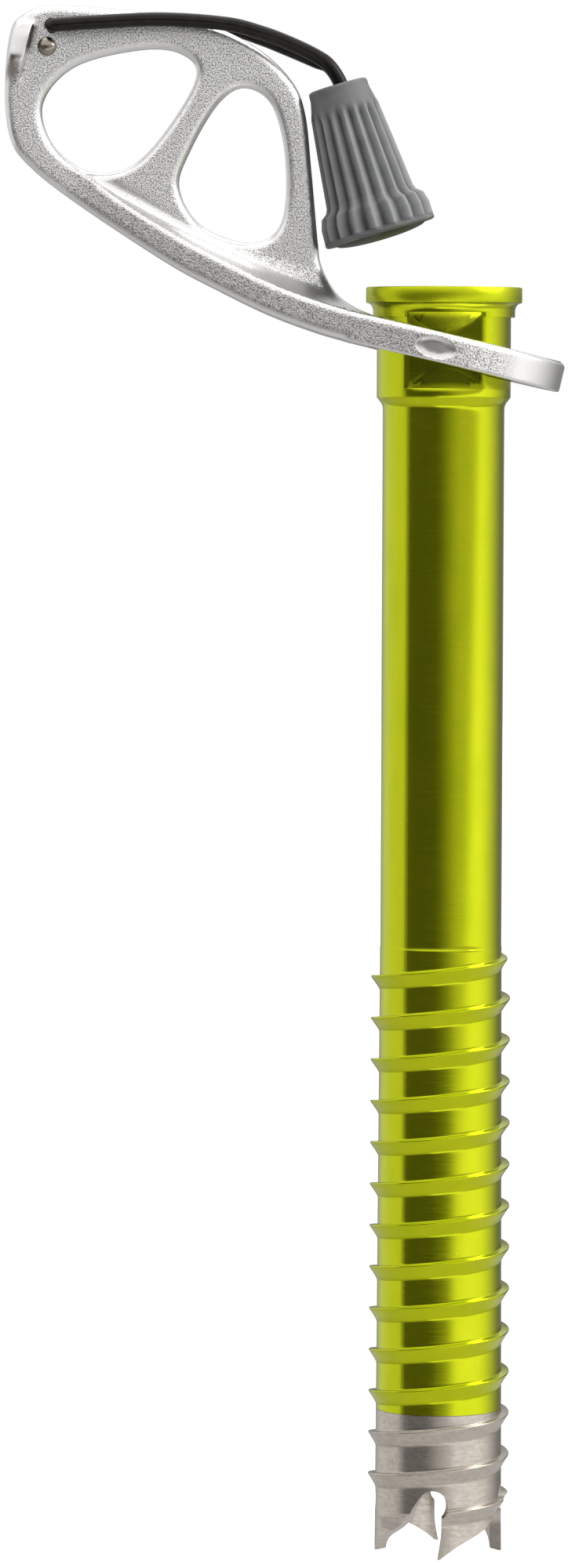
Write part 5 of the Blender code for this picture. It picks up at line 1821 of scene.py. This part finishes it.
@dataclass(frozen=True)
class Lamp:
    """Soft square lamp that looks at the object; azimuth 0 is the camera's side."""

    name: str
    azimuth: float
    elevation: float
    distance: float
    size: float
    power: float
    aim: tuple[float, float, float] = (-0.02, 0.0, -0.03)

    def build(self) -> None:
        """Make the lamp."""
        data = bpy.data.lights.new(self.name, "AREA")
        data.size = self.size
        data.energy = self.power
        lamp = add_object(self.name, data)
        a, e = math.radians(self.azimuth), math.radians(self.elevation)
        away = Vector((math.sin(a) * math.cos(e), -math.cos(a) * math.cos(e), math.sin(e)))
        lamp.location = Vector(self.aim) + self.distance * away
        lamp.rotation_euler = (Vector(self.aim) - lamp.location).to_track_quat("-Z", "Y").to_euler()


@dataclass
class Studio:
    """Camera, pale floor, white surround and soft light; its sizes are in metres."""

    distance: float = 1.04
    level: float = -0.0020
    aim: tuple[float, float, float] = (-0.0235, 0.0, -0.0576)
    roll: float = 0.225
    lens: float = 160.3
    floor_level: float = -0.45
    floor_size: float = 18.0
    floor_white: float = 0.80
    wall_radius: float = 1.30
    wall_top: float = 1.60
    sky: float = 1.62
    sky_back: float = 1.00
    matte_share: float = 0.45
    ambient: float = 0.45
    table: float = 0.04
    dim: float = 0.115
    glow: float = 0.60
    window: float = 1.00
    pale_side: float = 1.05
    pale_edge: float = -69.0
    back: float = 0.25
    panel_place: tuple[float, float] = (0.24, -0.93)
    panel_size: tuple[float, float] = (1.00, 0.62)
    panel_level: float = 1.7
    lamps: tuple[Lamp, ...] = (
        Lamp("key", 74.0, 30.0, 0.9, 0.45, 4.5), Lamp("top", 0.0, 96.0, 0.9, 1.10, 6.5),
    )

    def camera(self) -> None:
        """Camera at the photograph's viewing angle."""
        data = bpy.data.cameras.new("camera")
        data.lens = self.lens
        data.sensor_width = 36.0
        data.clip_end = 20.0
        camera = add_object("camera", data)
        camera.location = (self.aim[0], -self.distance, self.level)
        look = Vector(self.aim) - camera.location
        camera.rotation_euler = look.normalized().to_track_quat("-Z", "Y").to_euler()
        camera.rotation_euler.rotate_axis("Z", math.radians(self.roll))
        bpy.context.scene.camera = camera

    def world(self) -> None:
        """White surround, weaker as a light than as what gloss and camera see."""
        world = bpy.data.worlds.new("surround")
        bpy.context.scene.world = world
        board = NodeBoard(world, "Background")
        board.plain(Color=WHITE)
        white = board.ray("Is Camera Ray")
        for kind in ("Is Glossy Ray", "Is Transmission Ray"):
            white = board.combine(white, board.ray(kind), Combine.LARGER)
        board.feed(board.spread(white, 0.0, 1.0, self.ambient, 1.0), "Strength")

    def glowing(self, name: str, strength: float) -> NodeBoard:
        """Start a material that only glows, white all over.

        Args:
            name: its name.
            strength: its brightness, 1 for white.

        Returns:
            The material's board.
        """
        board = NodeBoard(bpy.data.materials.new(name))
        board.plain(Base_Color=BLACK, Roughness=1.0, Specular_IOR_Level=0.0)
        board.plain(Emission_Color=WHITE, Emission_Strength=strength)
        return board

    def stage_piece(self, name: str, points: np.ndarray, faces: list, board: NodeBoard) -> bpy.types.Object:
        """Add a mesh, in metres, that belongs to the studio.

        Args:
            name: its name.
            points: its points, one row each.
            faces: its faces.
            board: its material.

        Returns:
            The new object.
        """
        mesh = bpy.data.meshes.new(name)
        mesh.from_pydata(points.tolist(), [], faces)
        mesh.materials.append(board.owner)
        piece = add_object(name, mesh)
        return piece

    def sheet(
        self, name: str, place: tuple[float, float], size: tuple[float, float], level: float,
        board: NodeBoard,
    ) -> bpy.types.Object:
        """Add a level rectangle.

        Args:
            name: its name.
            place: its centre.
            size: its length and width.
            level: its height.
            board: its material.

        Returns:
            The new object.
        """
        corners = np.array([(-0.5, -0.5), (0.5, -0.5), (0.5, 0.5), (-0.5, 0.5)]) * size + place
        return self.stage_piece(name, np.column_stack([corners, np.full(4, level)]), [[0, 1, 2, 3]], board)

    def floor(self) -> None:
        """Pale floor that shows white and keeps the object's shadow."""
        board = NodeBoard(bpy.data.materials.new("pale_floor"))
        board.plain(Base_Color=(0.80, 0.80, 0.80), Roughness=0.9, Emission_Color=WHITE)
        seen = board.part(board.ray("Is Camera Ray"), self.floor_white)
        shown = board.part(board.ray("Is Glossy Ray"), self.table)
        board.feed(board.combine(seen, shown), "Emission Strength")
        self.sheet("floor", (0.0, 0.0), (self.floor_size, self.floor_size), self.floor_level, board)

    def brightness(self, angle: np.ndarray, height: np.ndarray) -> np.ndarray:
        """Brightness of the surround.

        Formula: a dim front, eased steps up to a glow and to a window at the
        right whose near edge leans with the height, an eased fall to the back,
        a pale left side with a crisp edge, and an even sky above.

        Args:
            angle: angles from the camera's side, in degrees.
            height: heights in metres.

        Returns:
            The brightness at each place, 1 for white.
        """
        edge = 74.0 + 130.0 * np.clip(height, -0.40, 0.06) - 150.0 * np.clip(-0.20 - height, 0.0, 0.20)
        soft = 16.0 * np.clip((height + 0.42) / 0.25, 0.30, 1.0)
        lift = 26.0 * smoothstep((-0.17 - height) / 0.08)
        rise = self.glow * smoothstep((angle + 16.0 - lift) / (52.0 - lift))
        rise = rise + self.window * smoothstep((angle - edge + soft) / (1.4 * soft))
        right = rise * smoothstep((150.0 - angle) / 85.0)
        right = right + (self.back - self.dim) * smoothstep((angle - 110.0) / 50.0)
        pale = self.pale_side - (self.pale_side - self.back) * smoothstep((-125.0 - angle) / 55.0)
        level = self.dim + right + (pale - self.dim) * smoothstep((self.pale_edge - angle) / 9.0)
        sky = self.sky - (self.sky - self.sky_back) * smoothstep((np.abs(angle) - 70.0) / 60.0)
        return level + (np.maximum(level, sky) - level) * smoothstep((height - 0.12) / 0.45)

    def wall(self) -> None:
        """Round wall that shows in the metal, but not to the camera."""
        angle, height = np.meshgrid(
            np.linspace(-180.0, 180.0, 241), np.linspace(self.floor_level + 0.002, self.wall_top, 80),
        )
        points = around(self.wall_radius, np.radians(angle - 90.0), height).reshape(-1, 3)
        index = np.arange(angle.size).reshape(angle.shape)
        corners = [index[:-1, :-1], index[:-1, 1:], index[1:, 1:], index[1:, :-1]]
        faces = np.stack(corners, axis=-1).reshape(-1, 4)
        board = self.glowing("studio_wall", 1.0)
        matte = board.spread(board.ray("Is Diffuse Ray"), 0.0, 1.0, 1.0, self.matte_share)
        board.feed(board.combine(board.stamped("level"), matte, Combine.TIMES), "Emission Strength")
        piece = self.stage_piece("studio_wall", points, faces.tolist(), board)
        stamp(piece.data, "level", self.brightness(angle, height).ravel())
        piece.visible_camera = False

    def panel(self) -> None:
        """Bright sheet that lies on the floor in front of the object, unseen by the camera."""
        board = self.glowing("front_panel", self.panel_level)
        level = self.floor_level + 0.001
        sheet = self.sheet("front_panel", self.panel_place, self.panel_size, level, board)
        sheet.visible_camera = False

    def build(self) -> None:
        """Set up the whole studio."""
        bpy.context.scene.view_settings.view_transform = "Standard"
        for part in (self.camera, self.world, self.floor, self.wall, self.panel):
            part()
        for lamp in self.lamps:
            lamp.build()


def main() -> None:
    """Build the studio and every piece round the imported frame."""
    logging.basicConfig(level=logging.INFO, format="%(name)s: %(message)s")
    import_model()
    green, steel, forged = AnodisedGreen().build(), TurnedSteel().build(), BlastedForging().build()
    coat, rubber, bright = CoatedWire().build(), MouldedGrip().build(), BrightSteel().build()
    Screw().build(green, steel)
    hanger = Hanger()
    hanger.build(forged, bright)
    knob = Knob(hanger)
    knob.build(rubber, bright)
    Crank(hanger, knob).build(coat)
    Studio().build()


if __name__ == "__main__":
    main()
